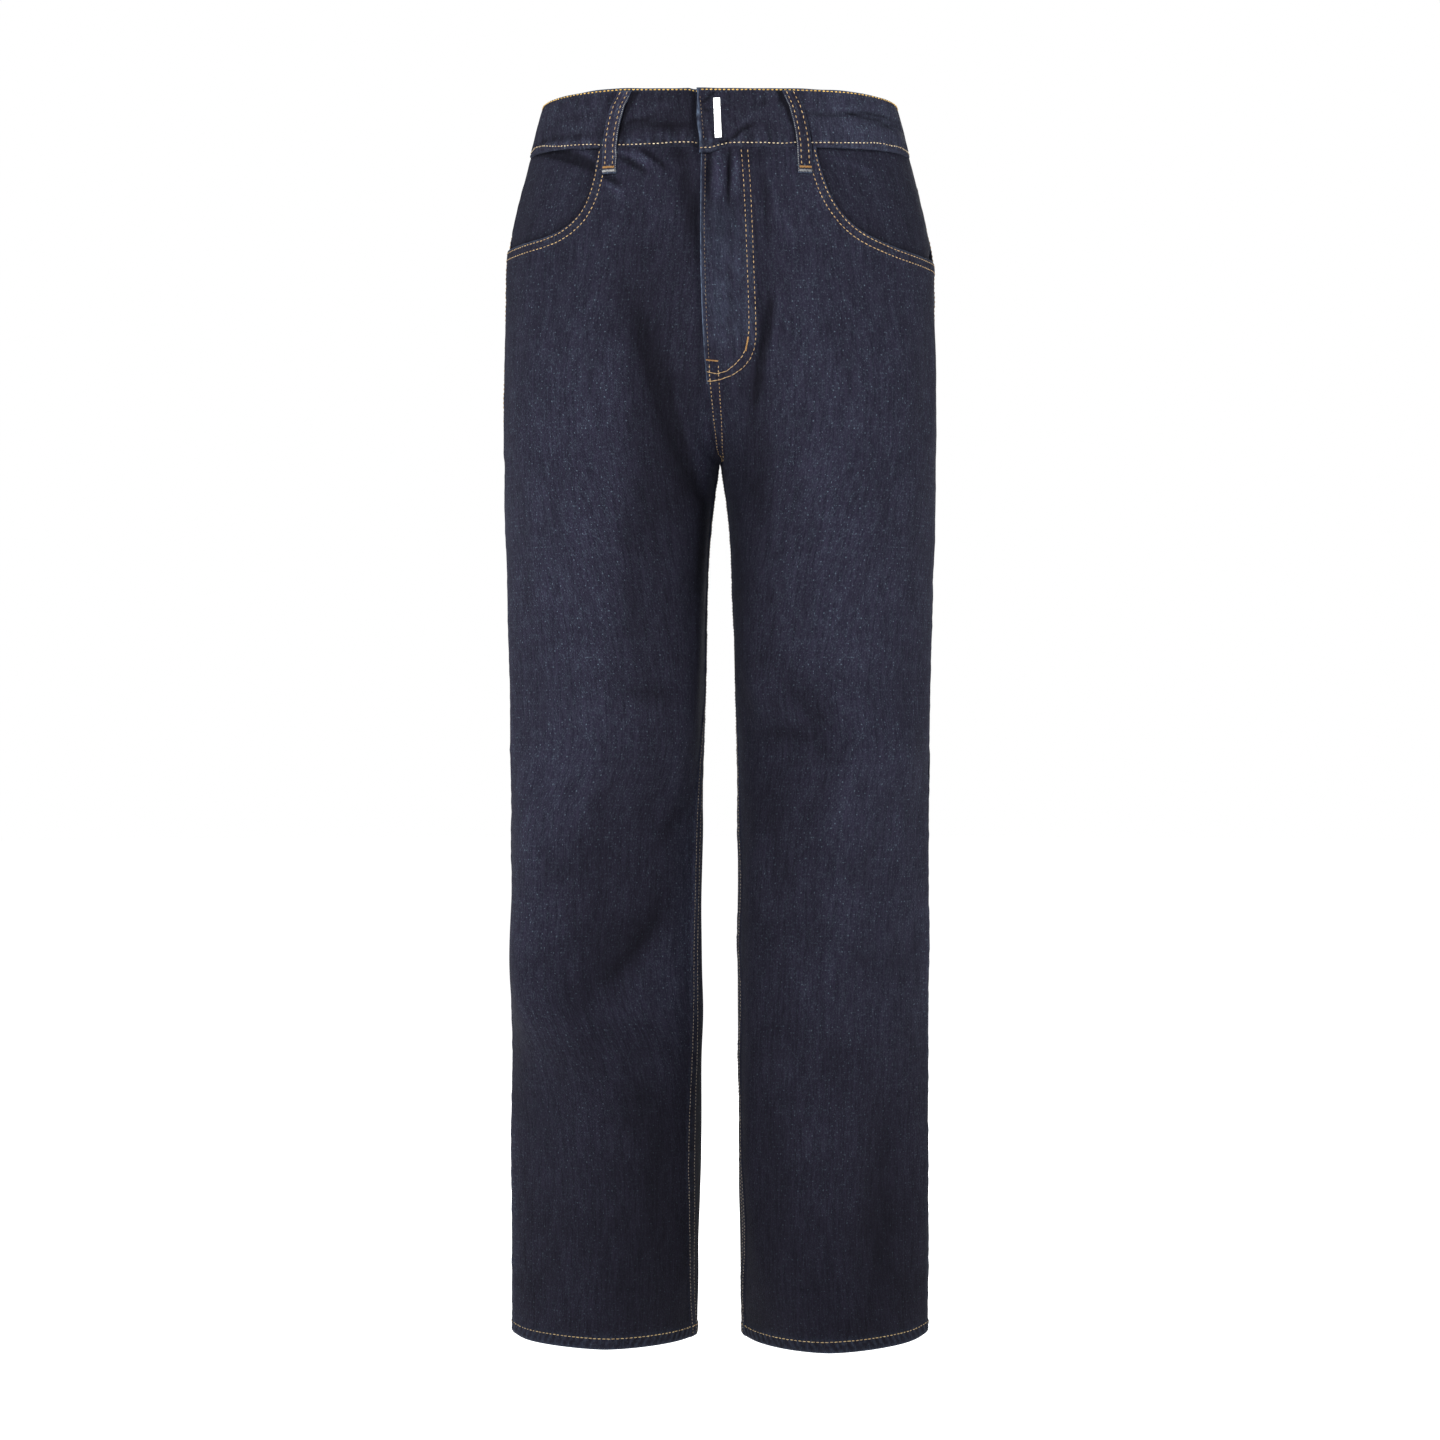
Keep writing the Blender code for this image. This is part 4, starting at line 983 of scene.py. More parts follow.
def make_back(side, word, seed):
    """One back, from the seam under the yoke to the hem."""
    def chart(across, down):
        height = down_to_hem(yoke_seam(1 + across) - SEAM_GAP / 2, down)
        gap = SEAM_GAP / 2 / girth(side, True, height)
        turn = 1 + gap + (1 - 2 * gap + seat_lap(side, height)) * across
        return turn, lift_hem(side, turn, height)

    def shape(turn, height):
        at = turn * girth(side, True, height)
        stand, worn = back_stand(side, turn, height, seed)
        hem, turned, hem_worn = hem_shape(lift_hem(side, turn, height, -1), at)
        under = yoke_seam(turn) - height
        stand += hem + seam_groove(under) + 0.3 * ripple(at, seed + 6, 9) * close_to(under, 8)
        wash = back_wash(turn, height) + painted_fold_shade(skin(side, turn, height))
        return stand, DENIM * (1 + turned), worn + hem_worn, wash

    return lay_cloth(f"back_{word}_cloth", side, close_ends(64), panel_heights(), chart, shape,
                     panel_denim, 0, [f"back_{word}"])


def make_yoke(side, word, seed):
    """One yoke, between the waistband and the back."""
    def chart(across, down):
        turn = 1 + across
        top = band_seam(turn) - SEAM_GAP / 2
        height = top + (yoke_seam(turn) + SEAM_GAP / 2 - top) * down
        gap = SEAM_GAP / 2 / girth(side, True, height)
        return np.clip(turn, 1 + gap, 2 - gap) + seat_lap(side, height) * across, height

    def shape(turn, height):
        at = turn * girth(side, True, height)
        stand, worn = back_stand(side, turn, height, seed)
        above = height - yoke_seam(turn)
        fell = until(10.4, 2.0, above)
        stand += fell * (0.8 + 0.2 * ripple(at, seed + 7)) + seam_groove(above)
        stand += band_puckers(at, seed + 8, band_seam(turn) - height)
        worn += 0.2 * fell * np.maximum(ripple(at, seed + 7), 0) + 0.3 * close_to(above, 1.0)
        return stand, DENIM, worn, back_wash(turn, height)

    return lay_cloth(f"yoke_{word}_cloth", side, close_ends(64), close_ends(22), chart, shape,
                     panel_denim, 0, [f"yoke_{word}"])


for side, word in SIDES:
    yoke = make_yoke(side, word, BACK_SEEDS[side])
    back = make_back(side, word, BACK_SEEDS[side])

# ---------------------------------------------------------------------------------------------
# Waistband. A straight band of doubled denim in two halves, sewn down with a row along each edge.
# The left half laps over the right one and its end droops a little over the seam.
# ---------------------------------------------------------------------------------------------
FRONT_TOP = 24.4
SIDE_TOP = 25.6
BACK_TOP = 38.0
BAND_WALL = 2.6
BAND_PROUD = 1.0
BAND_LAP_TOP = 20.7
BAND_LAP_FOOT = 16.4
BAND_UNDERLAP = 34.0
BAND_DROOP = 5.0
BAND_RISE = 1.3
BAND_HUMP = 0.9

# Creases pressed into the band, from one place to another: distance round and height
BAND_CREASES = table(
    "start z_start end z_end reach depth side",
    (69, 5.5, 176, 9.0, 1.9, -2.0, 1), (112, 7.5, 160, 0.5, 1.8, -1.8, 1),
    (128, 2.5, 192, 1.0, 1.8, -1.3, 1), (95, 13.0, 165, 15.0, 3.4, 0.9, 1),
    (84, -4.0, 176, -7.0, 3.6, 1.0, 1), (200, -4.0, 300, 4.0, 3.4, -1.0, 1),
    (3, -21.0, 28, -4.0, 1.5, -1.9, 1), (12, -6.0, 36, 6.0, 3.0, 0.9, 1),
    (-15.5, 12.5, -5.0, 22.0, 1.3, -1.9, 1), (-15.5, 9.0, -9.0, 5.5, 1.5, -1.3, 1),
    (26, 12.0, 58, 16.0, 3.4, -0.8, 1), (8, 18.0, 14, 6.0, 2.6, -0.8, 1),
    (22, -4.0, 84, -8.0, 3.2, -1.3, -1), (22, -15.0, 70, -16.5, 3.6, 1.2, -1),
    (34, 14.0, 60, 8.0, 3.4, 0.9, -1), (56, 2.0, 84, -6.0, 2.2, -1.4, -1),
    (98, -9.0, 190, -13.0, 3.0, -1.3, -1), (100, -16.0, 200, -17.0, 3.4, 1.0, -1),
    (104, 8.0, 160, 2.0, 3.4, -0.9, -1), (112, 16.0, 118, -2.0, 3.4, 1.0, -1),
    (210, 2.0, 300, -4.0, 3.4, -1.0, -1))

# How bright the band is painted, by the distance round from the centre front: painted light and shade,
# lighter and darker along each half where the lights fall on it
BAND_LIGHT_AND_WASH = table(
    "around left right",
    (-40, 0.50, 0.45), (22, 0.46, 0.26), (44, 0.62, 0.26), (64, 0.78, 0.44), (82, 0.95, 0.52),
    (112, 1.0, 0.58), (160, 1.0, 0.60), (210, 0.75, 0.7), (520, 0.6, 0.6))

# The five belt loops sewn over it: distance round from the centre front, or back, at top and foot
LOOPS = (
    ("belt_loop_front_left", 1, FRONT_FACE, 57.2, 70.6),
    ("belt_loop_front_right", -1, FRONT_FACE, 79.1, 92.5),
    ("belt_loop_side_left", 1, BACK_FACE, 142.0, 146.0),
    ("belt_loop_side_right", -1, BACK_FACE, 142.0, 146.0),
    ("belt_loop_back", 1, BACK_FACE, 0.0, 0.0))


def band_top(turn):
    """Height of the waistband's top edge, from the centre front round to the centre back."""
    side_rise = (SIDE_TOP - FRONT_TOP) * smooth(0, 1, turn)
    return FRONT_TOP + side_rise + (BACK_TOP - SIDE_TOP) * smooth(1, 1, turn)


def loop_line(top_place, foot_place, share):
    """How far round a loop's middle line lies; it leans most near the top."""
    return foot_place + (top_place - foot_place) * (1 - share)**2


def band_edge(side, turn, at):
    """Height of one half's own top edge, which rises a little over the front."""
    rise = BAND_RISE * until(0.5, 0.25, turn) + BAND_HUMP * bell(at, 86, 22) * (side < 0)
    return band_top(np.maximum(turn, 0)) + rise


def make_band(side, word, seed):
    """Half of the waistband."""
    around = float(girth(side, False, 0.0))

    def lap(share_down):
        return (BAND_LAP_TOP + (BAND_LAP_FOOT - BAND_LAP_TOP) * share_down) / around

    def chart(across, down):
        under = 0 if side > 0 else BAND_UNDERLAP / around
        wavy = 0.7 * np.sin(math.tau * (down * 1.4 + 0.1)) * (side > 0) / around
        first = -side * lap(down) - under + wavy
        turn = first + (2 - SEAM_GAP / 2 / around - first) * across
        droop = BAND_DROOP * until(8.5, 15, (turn - first) * around) * (side > 0)
        top = band_edge(side, turn, turn * around) - 0.25 * ripple(turn * around, seed + 9, 30)
        foot = band_seam(np.maximum(turn, 0)) + SEAM_GAP / 2 - droop
        return turn, top + (foot - top) * down

    def shape(turn, height):
        at = turn * around
        top, foot = band_top(np.maximum(turn, 0)), band_seam(np.maximum(turn, 0))
        from_top, from_foot = top - height, height - foot
        down = from_top / (top - foot)
        share_down = np.clip(down, 0, 1)
        bulge = np.sin(math.pi * share_down)
        from_end = (turn + side * lap(share_down)) * around
        stand = BAND_PROUD * (1 - 0.6 * bell(turn, 1, 0.3)) + 0.45 * bulge**2
        stand += 0.35 * waver(side * at, height * 1.5, seed) * bulge
        rows = bell(from_top, 2.3, 1.3) + bell(from_foot, 2.4, 1.3)
        stand += -0.32 * rows + 0.42 * ripple(at, seed + 1, 6.5) * bell(from_foot, 7, 5)
        stand += 0.4 * ripple(at, seed + 2, 7.5) * bell(from_top, 7, 5)
        worn = 0.2 * close_to(np.maximum(from_top, 0), 0.8)
        worn += 0.06 * close_to(np.maximum(from_foot, 0), 0.8)
        worn += 0.13 * np.maximum(ripple(at, seed + 1, 5.5), 0) * bell(from_foot, 4.5, 2.5)
        crease_shade = np.zeros(len(turn))
        for start, z_start, end, z_end, reach, depth, which in zip(*BAND_CREASES.values()):
            share = np.clip((at - start) / (end - start), 0, 1)
            bend = min(1.5, 0.03 * (end - start)) * np.sin(2.5 * math.pi * share)
            line = z_start + (z_end - z_start) * share - bend
            apart = np.hypot(height - line, np.maximum(np.maximum(start - at, at - end), 0))
            crease_depth = depth * (which == side) * np.sin(math.pi * (0.12 + 0.76 * share))
            crease_depth *= bell(apart, 0, reach)
            crease_shade += crease_depth / reach
            stand += 1.1 * crease_depth
        stand -= 0.9 * until(0, 1.4, from_top) + 0.5 * until(0, 1.0, from_foot) * (turn > 0)
        if side > 0:
            drooped = until(8.5, 14, from_end)
            stand += drooped * (0.5 + 1.7 * until(-1.0, 7.0, from_foot))
            stand -= 0.6 * until(0, 1.3, from_end)
            worn += 0.6 * until(1.5, 1.0, from_end) * (0.8 + 0.5 * ripple(height, seed + 4, 9))
        else:
            stand -= (BAND_WALL + 0.9) * until(1.0, 6.0, from_end)
        worn += 0.035 * smooth(72, 30, at) * until(150, 60, at) * (side > 0)
        # Painted light and shade along the band from the table, and painted shade over its creases
        wash = np.interp(at, BAND_LIGHT_AND_WASH["around"], BAND_LIGHT_AND_WASH[word]) + 0.8 * crease_shade
        # Painted shadow on the right half beside the left half's lapped end
        if side < 0:
            wash -= 0.4 * close_to(np.maximum(from_end, 0), 2.5)
        # Painted shade over the puckers along the band's foot and top
        wash += 0.22 * ripple(at, seed + 1, 6.5) * bell(from_foot, 8, 6)
        wash += 0.16 * ripple(at, seed + 2, 7.5) * bell(from_top, 8, 6)
        # Painted shadow on the band beside each loop's inner side, where the loop stands off it
        for _, loop_side, face, top_place, foot_place in LOOPS:
            reach = 2 * around if face == BACK_FACE else 0
            middle = abs(reach - loop_line(top_place, foot_place, down))
            if loop_side == side or foot_place == 0:
                wash -= 1.1 * bell(np.maximum(np.abs(at - middle + 3.2) - 5.4, 0), 0, 2.0)
        return stand, BAND_WALL, worn, wash

    front_half = np.linspace(0.004, 0.45, 210)[:-1]
    across = np.concatenate([[0, 0.0007, 0.0018], front_half, np.linspace(0.45, 1, 90)])
    return lay_cloth(f"waistband_{word}_cloth", side, across, close_ends(30, 0.5), chart, shape,
                     band_denim_painted_lighter, 0, [f"waistband_{word}"])


for side, word in SIDES:
    band = make_band(side, word, 120 if side > 0 else 140)

# ---------------------------------------------------------------------------------------------
# Back pockets. Two plain patches with a pointed foot and a turned mouth, sewn on with two rows.
# ---------------------------------------------------------------------------------------------
POCKET_CENTRE = 148.0
POCKET_TOP = -91.0
POCKET_TILT = 0.05
POCKET_DRIFT = 0.03
POCKET_WIDTH = 152.0
POCKET_FOOT_WIDTH = 148.0
POCKET_SIDE = 138.0
POCKET_POINT = 20.0


def pocket_place(side, across, down, inset=0.0):
    """Turn and height of a point of a back pocket: across from -1 to 1, down from 0 to 1."""
    length = POCKET_SIDE + POCKET_POINT * (1 - np.abs(across)) - inset
    half = (POCKET_WIDTH + (POCKET_FOOT_WIDTH - POCKET_WIDTH) * down) / 2 - inset
    height = POCKET_TOP - length * down - POCKET_TILT * half * across
    from_side = POCKET_CENTRE + half * across + POCKET_DRIFT * length * down
    return 1 + from_side / girth(side, True, height), height


def make_back_pocket(side, word, seed):
    """One patch pocket."""
    def chart(across, down):
        return pocket_place(side, 2 * across - 1, down)

    def shape(turn, height):
        around = girth(side, True, height)
        at = (turn - 1) * around
        across = (at - POCKET_CENTRE - POCKET_DRIFT * (POCKET_TOP - height)) / (POCKET_WIDTH / 2 - 1)
        from_mouth = POCKET_TOP - POCKET_TILT * across * POCKET_WIDTH / 2 - height
        length = POCKET_SIDE + POCKET_POINT * (1 - np.clip(np.abs(across), 0, 1))
        down = np.clip(from_mouth / length, 0, 1)
        from_edge = np.minimum((1 - np.abs(across)) * POCKET_WIDTH / 2, (1 - down) * POCKET_SIDE)
        stand, _ = back_stand(side, turn, height, BACK_SEEDS[side])
        stand += DENIM + 0.5 + 1.0 * smooth(6, 50, from_edge) * np.sin(math.pi * np.clip(down + 0.12, 0, 1))
        turned = until(12.5, 2.0, from_mouth)
        stand += 0.5 * turned + 0.4 * until(8.5, 2.0, from_edge)
        stand += 0.18 * ripple(height + at, seed, 7) * until(8.0, 6.0, from_edge)
        stand -= 0.9 * until(0, 1.4, from_edge) + 0.8 * until(0, 1.3, from_mouth)
        worn = 0.45 * close_to(np.maximum(from_edge, 0), 1.0)
        worn += 0.55 * close_to(np.maximum(from_mouth, 0), 1.0)
        worn += 0.16 * np.maximum(ripple(height + at, seed, 7), 0) * until(7.0, 4.0, from_edge)
        return stand, DENIM, worn, back_wash(turn, height) + 0.06

    return lay_cloth(f"back_pocket_{word}_cloth", side, close_ends(44, 0.5), close_ends(44, 0.5),
                     chart, shape, panel_denim, 0.5, [f"back_pocket_{word}"])


for side, word in SIDES:
    pocket = make_back_pocket(side, word, 160 if side > 0 else 170)

# ---------------------------------------------------------------------------------------------
# Belt loops. Five folded strips of denim with two rows of stitching, tacked over the waistband's
# top edge and below its seam; each stands off the band between, and its raw chain edge shows.
# ---------------------------------------------------------------------------------------------
LOOP_TOP_WIDTH = 11.2
LOOP_FOOT_WIDTH = 12.0
LOOP_DROP = 22.4
LOOP_SINK = 1.4
LOOP_BULGE = 3.6
LOOP_WALL = 2.0
# Along a loop from its top: share of its length, and how far it stands off the cloth
LOOP_PROFILE = table(
    "share stand",
    (0.0, 0.0), (0.07, 0.0), (0.2, 1.0), (0.36, 1.0), (0.52, 0.9), (0.64, 0.55), (0.8, 0.0), (1.0, 0.0))


def loop_width(share):
    """Width of a loop at a share of its length from the top."""
    return LOOP_TOP_WIDTH + (LOOP_FOOT_WIDTH - LOOP_TOP_WIDTH) * share


def loop_ends(side, face, foot_place):
    """Heights of a loop's top, of the waistband's seam under it and of its foot."""
    behind = face == BACK_FACE
    middle = foot_place / girth(side, behind, 0.0)
    turn = 2 - middle if behind else middle
    seam = band_seam(turn)
    return band_top(turn) - LOOP_SINK, seam, seam - LOOP_DROP


def loop_place(side, face, top_place, foot_place, across, down):
    """Turn and height of a point of a belt loop: across in millimetres from its middle line."""
    top, _, foot = loop_ends(side, face, foot_place)
    height = top + (foot - top) * down
    place = loop_line(top_place, foot_place, down) + across
    turn = place / girth(side, face == BACK_FACE, height)
    return (2 - turn if face == BACK_FACE else turn), height


def make_belt_loop(node, side, face, top_place, foot_place, seed):
    """One belt loop."""
    behind = face == BACK_FACE
    top, seam, foot = loop_ends(side, face, foot_place)

    def chart(across, down):
        across = -face * (across - 0.5) * loop_width(down)
        return loop_place(side, face, top_place, foot_place, across, down)

    def shape(turn, height):
        share = (top - height) / (top - foot)
        width = loop_width(share)
        at = (2 - turn if behind else turn) * girth(side, behind, height)
        at -= loop_line(top_place, foot_place, share)
        from_edge = width / 2 - np.abs(at)
        under = BAND_PROUD * smooth(seam - 4.5, 3, height)
        bulge = LOOP_BULGE * np.interp(share, LOOP_PROFILE["share"], LOOP_PROFILE["stand"])
        stand = under + bulge + LOOP_WALL + 0.5
        stand += 0.25 * np.sin(math.pi * np.clip(from_edge / width, 0, 1))
        stand -= 0.3 * bell(from_edge, 2.7, 0.9) + 0.8 * until(0, 1.1, from_edge)
        ends = np.minimum(share, 1 - share) * (top - foot)
        stand += 0.12 * ripple(height, seed, 4.5) - 0.7 * until(0, 1.2, ends)
        worn = 0.22 * close_to(np.maximum(from_edge, 0), 0.4) + 0.4 * close_to(np.maximum(ends, 0), 0.8)
        return stand, LOOP_WALL, worn, 0.5 if side > 0 else 0.95

    return lay_cloth(f"{node}_cloth", side, close_ends(18, 0.7), close_ends(50, 0.4),
                     chart, shape, band_denim_painted_lighter, 0.5, [node])


for number, loop in enumerate(LOOPS):
    strip = make_belt_loop(*loop, 180 + number)

# ---------------------------------------------------------------------------------------------
# Topstitching. Golden tan thread in rows of about three stitches a centimetre, in pairs 6.4 mm
# apart on felled seams, and tight zigzag bar tacks where a seam or a loop takes a pull.
# ---------------------------------------------------------------------------------------------
# Lengths of a stitch, and the share of it that shows; width and step of a bar tack's stitches
STITCH = 3.9
BAND_STITCH = 3.6
FLY_STITCH = 4.15
FLY_EDGE_STITCH = 3.4
LOOP_STITCH = 4.6
INSEAM_STITCH = 2.9
CHAIN_STITCH = 1.5
STITCH_BODY = 0.62
TACK_THREAD = 0.66
TACK_STEP = 0.62
# Widths of the thread in a row
THREAD = 0.85
FINE_THREAD = 0.7
HIDDEN_THREAD = 0.55
BAND_THREAD = 1.0
TOP_THREAD = 1.35
CHAIN_THREAD = 0.8
# How far above the skin a row is sought: past the cloth there, and past its bulge
PANEL_LIFT = 4.0
BAND_LIFT = 6.0
LAP_LIFT = 8.0
POCKET_LIFT = 8.0
LOOP_LIFT = 12.0
# Insets of twin rows from their edge or seam, and of single ones
MOUTH_ROWS = (2.7, 8.9)
SEAM_ROWS = (2.2, 8.6)
POCKET_ROWS = (2.0, 8.2)
POCKET_MOUTH_ROWS = (10.5, 16.5)
SIDE_ROW = 2.6
HEM_ROW = 9.3
LOOP_ROW = 2.7
CHAIN_ROW = 0.35
FLY_EDGE_ROW = 3.3
LAP_END_ROW = 3.6
BAND_TOP_ROW = 1.4
BAND_FOOT_ROW = 2.4
SIDE_TACK = -263.0
# How many stitches are made at a time, before they are poured into their seam's mesh
LOT = 24


def make_thread(name, dark, bright):
    """Spun thread: two tones and a fine twist."""
    material = bpy.data.materials.new(name)
    material.use_nodes = True
    tree = material.node_tree
    shader = tree.nodes["Principled BSDF"]
    place = wire(tree, "TexCoord").outputs["Object"]
    tone = wire(tree, "TexNoise", (("Vector", place), ("Scale", 190.0), ("Detail", 2.0)))
    fuzz = wire(tree, "TexNoise", (("Vector", place), ("Scale", 4200.0), ("Detail", 2.0)))
    shade = pick(tree, tone.outputs[0], 0.35, 0.65)
    raised = wire(tree, "Bump", (("Height", fuzz.outputs[0]), ("Strength", 0.6), ("Distance", 0.0002)))
    tree.links.new(blend_colours(tree, shade, (*dark, 1), (*bright, 1)), shader.inputs["Base Color"])
    tree.links.new(pick(tree, fuzz.outputs[0], 0.3, 0.7, 0.5, 0.75), shader.inputs["Roughness"])
    tree.links.new(raised.outputs[0], shader.inputs["Normal"])
    shader.inputs["Sheen Weight"].default_value = 0.2
    return material


tan_thread = make_thread("thread_tan", (0.30, 0.18, 0.075), (0.56, 0.37, 0.16))
pale_thread = make_thread("thread_waistband", (0.36, 0.235, 0.115), (0.74, 0.61, 0.40))
golden_thread = make_thread("thread_waistband_top", (0.42, 0.25, 0.045), (0.80, 0.50, 0.12))
hem_thread = make_thread("thread_hems", (0.30, 0.20, 0.09), (0.50, 0.36, 0.15))
bright_thread = make_thread("thread_bar_tacks", (0.26, 0.12, 0.022), (0.42, 0.215, 0.05))
raw_thread = make_thread("thread_raw_edges", (0.12, 0.125, 0.14), (0.38, 0.38, 0.37))
dull_thread = make_thread("thread_inseams", (0.12, 0.095, 0.075), (0.26, 0.21, 0.16))
dark_thread = make_thread("thread_fly_edge", (0.075, 0.048, 0.032), (0.22, 0.15, 0.085))


def on_cloth(piece, side, turn, height, lift=PANEL_LIFT):
    """Points and outward directions on a laid piece, straight under places lift above the skin."""
    turn, height = np.asarray(turn, float), np.asarray(height, float)
    places, normals = [], []
    for above, below in zip(off_skin(side, turn, height, lift), off_skin(side, turn, height, 0)):
        start = Vector(above) * MM
        place, normal, _, _ = trees[piece].ray_cast(start, Vector(below - above), 0.03)
        if place is None:
            place, normal, _, _ = trees[piece].find_nearest(start)
        places.append(place)
        normals.append(normal)
    return places, normals


def add_stitch(mesh, place, ahead, normal, length, width):
    """One stitch: a small drop of thread half sunk in the cloth."""
    ahead = (ahead - normal * ahead.dot(normal)).normalized()
    turned = Matrix((ahead, normal.cross(ahead), normal)).transposed().to_4x4()
    size = Matrix.Diagonal((length * MM / 2, width * MM / 2, width * MM * 0.42, 1))
    matrix = Matrix.Translation(place + normal * 0.00012) @ turned @ size
    bmesh.ops.create_uvsphere(mesh, u_segments=6, v_segments=4, radius=1.0, matrix=matrix)


def pour(lot, mesh):
    """Move a small lot of stitches into the mesh of its seam."""
    data = bpy.data.meshes.new("lot")
    lot.to_mesh(data)
    mesh.from_mesh(data)
    bpy.data.meshes.remove(data)
    lot.clear()


def sew_row(mesh, piece, side, turn, height, seed, lift=PANEL_LIFT, thread=THREAD, step=STITCH, closer=0.25):
    """A row of stitches along a line on one piece, sought from lift above the skin.

    closer is how much of a step more a stitch fills where the row runs level.
    """
    places, normals = on_cloth(piece, side, turn, height, lift)
    reach = np.cumsum([0.0] + [(b - a).length / MM for a, b in zip(places, places[1:])])
    draw = np.random.default_rng(seed)
    count = int(reach[-1] / step)
    at = (np.arange(count) + 0.5) * reach[-1] / count + draw.uniform(-0.12, 0.12, count)
    lean = draw.uniform(-0.05, 0.05, count)
    points, outward = np.array(places), np.array(normals)
    lot = bmesh.new()
    for number, (where, turned) in enumerate(zip(at, lean)):
        place, ahead, behind, normal = (
            Vector([np.interp(spot, reach, values[:, axis]) for axis in range(3)])
            for spot, values in ((where, points), (where + 1, points), (where - 1, points), (where, outward)))
        line = ahead - behind
        body = step * (STITCH_BODY + closer * (line.x / line.length)**2)
        add_stitch(lot, place, line + normal.cross(line) * turned, normal.normalized(), body, thread)
        if number % LOT == LOT - 1:
            pour(lot, mesh)
    pour(lot, mesh)
    lot.free()


def sew_tack(mesh, piece, side, turns, heights, width, lift=PANEL_LIFT):
    """A bar tack between two places: tight stitches across its line."""
    places, normals = on_cloth(piece, side, np.linspace(*turns, 9), np.linspace(*heights, 9), lift)
    line = places[-1] - places[0]
    count = max(3, int(line.length / MM / TACK_STEP))
    lot = bmesh.new()
    for number in range(count + 1):
        share = number / count * (len(places) - 1)
        low = min(int(share), len(places) - 2)
        place = places[low].lerp(places[low + 1], share - low)
        normal = normals[low]
        across = normal.cross(line.normalized()) + line.normalized() * (0.16 if number % 2 else -0.16)
        add_stitch(lot, place + normal * 0.0002, across, normal, width, TACK_THREAD)
    pour(lot, mesh)
    lot.free()


def tack_loop(mesh, node, side, face, top_place, foot_place, half, share, width):
    """A bar tack across a loop, at a share of its length from the top."""
    ends = np.array([-half, half])
    turn, height = loop_place(side, face, top_place, foot_place, ends, np.full(2, share))
    sew_tack(mesh, f"{node}_cloth", side, turn, height, width, LOOP_LIFT)


def finish_thread(name, mesh, thread):
    """Close a mesh of stitches as one piece that rides with the cloth."""
    data = bpy.data.meshes.new(name)
    mesh.to_mesh(data)
    mesh.free()
    data.shade_smooth()
    data.materials.append(thread)
    piece = link(bpy.data.objects.new(name, data))
    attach(piece, "root")


def front_turn(side, at, height):
    """Turn at a distance round from the centre front."""
    return np.asarray(at, float) / girth(side, False, np.asarray(height, float))


# Pocket mouths: two rows along each
mesh = bmesh.new()
for side, word in SIDES:
    for number, inset in enumerate(MOUTH_ROWS):
        line = mouth_line(side, inset, 90)
        turn = front_turn(side, *line.T)
        keep = (turn < 0.995) & (line[:, 1] < band_seam(turn) - 0.8)
        sew_row(mesh, f"front_{word}_cloth", side, turn[keep], line[keep, 1], 300 + number + side)
finish_thread("stitches_pocket_mouths", mesh, tan_thread)

# Fly's edge, and the end of the waistband's lap over it
mesh = bmesh.new()
heights = np.linspace(-30, -205, 90)
turn = front_turn(1, FLY_EDGE_ROW - along(LAP, "past_centre", heights), heights)
sew_row(mesh, "front_left_cloth", 1, turn, heights, 310, PANEL_LIFT, HIDDEN_THREAD, FLY_EDGE_STITCH)
heights = np.linspace(19.0, -18.0, 40)
down = (FRONT_TOP - heights) / (FRONT_TOP - FRONT_BAND_SEAM)
turn = front_turn(1, LAP_END_ROW - BAND_LAP_TOP - (BAND_LAP_FOOT - BAND_LAP_TOP) * down, heights)
sew_row(mesh, "waistband_left_cloth", 1, turn, heights, 311, LAP_LIFT, HIDDEN_THREAD, FLY_EDGE_STITCH)
finish_thread("stitches_fly_edge", mesh, dark_thread)

# Fly: the J, as distance round and height, and the crotch seam below, as reach to the side
mesh = bmesh.new()
J_ROWS = {
    "inner": ((17.3, -26), (19.4, -53), (21, -86), (22.2, -119), (23.4, -152), (23.9, -177), (22.4, -189),
              (18.9, -197), (13, -203), (5.4, -208), (-2.9, -210), (-11.0, -209)),
    "outer": ((22.7, -26), (24.7, -53), (26.3, -86), (27.5, -119), (28.8, -152), (29.7, -181), (28.7, -191),
              (25.8, -199), (20.1, -206), (11.5, -211), (2.1, -214), (-7.2, -216), (-10.6, -216))}
CROTCH_ROWS = table(
    "height near far",
    (-280, -1.0, 3.0), (-246, -5.4, 1.3), (-210, -9.0, -1.4))
for number, line in enumerate(J_ROWS.values()):
    points = np.linspace(0, len(line) - 1, 110)
    at, heights = (np.interp(points, np.arange(len(line)), part) for part in zip(*line))
    turn = front_turn(1, at, heights)
    sew_row(mesh, "front_left_cloth", 1, turn, heights, 312 + number,
            PANEL_LIFT, FINE_THREAD, FLY_STITCH, 0.9)
heights = np.linspace(-203, -281, 60)
spots = np.linspace(-0.12, 0.3, 200)
across = np.array([skin(1, spots, np.full(200, height))[:, 0] for height in heights])
for number, place in enumerate(("near", "far")):
    line = np.interp(heights, CROTCH_ROWS["height"], CROTCH_ROWS[place])
    turn = np.array([np.interp(x, row, spots) for x, row in zip(line, across)])
    sew_row(mesh, "front_left_cloth", 1, turn, heights, 314 + number, 1.5, FINE_THREAD)
finish_thread("stitches_fly", mesh, tan_thread)

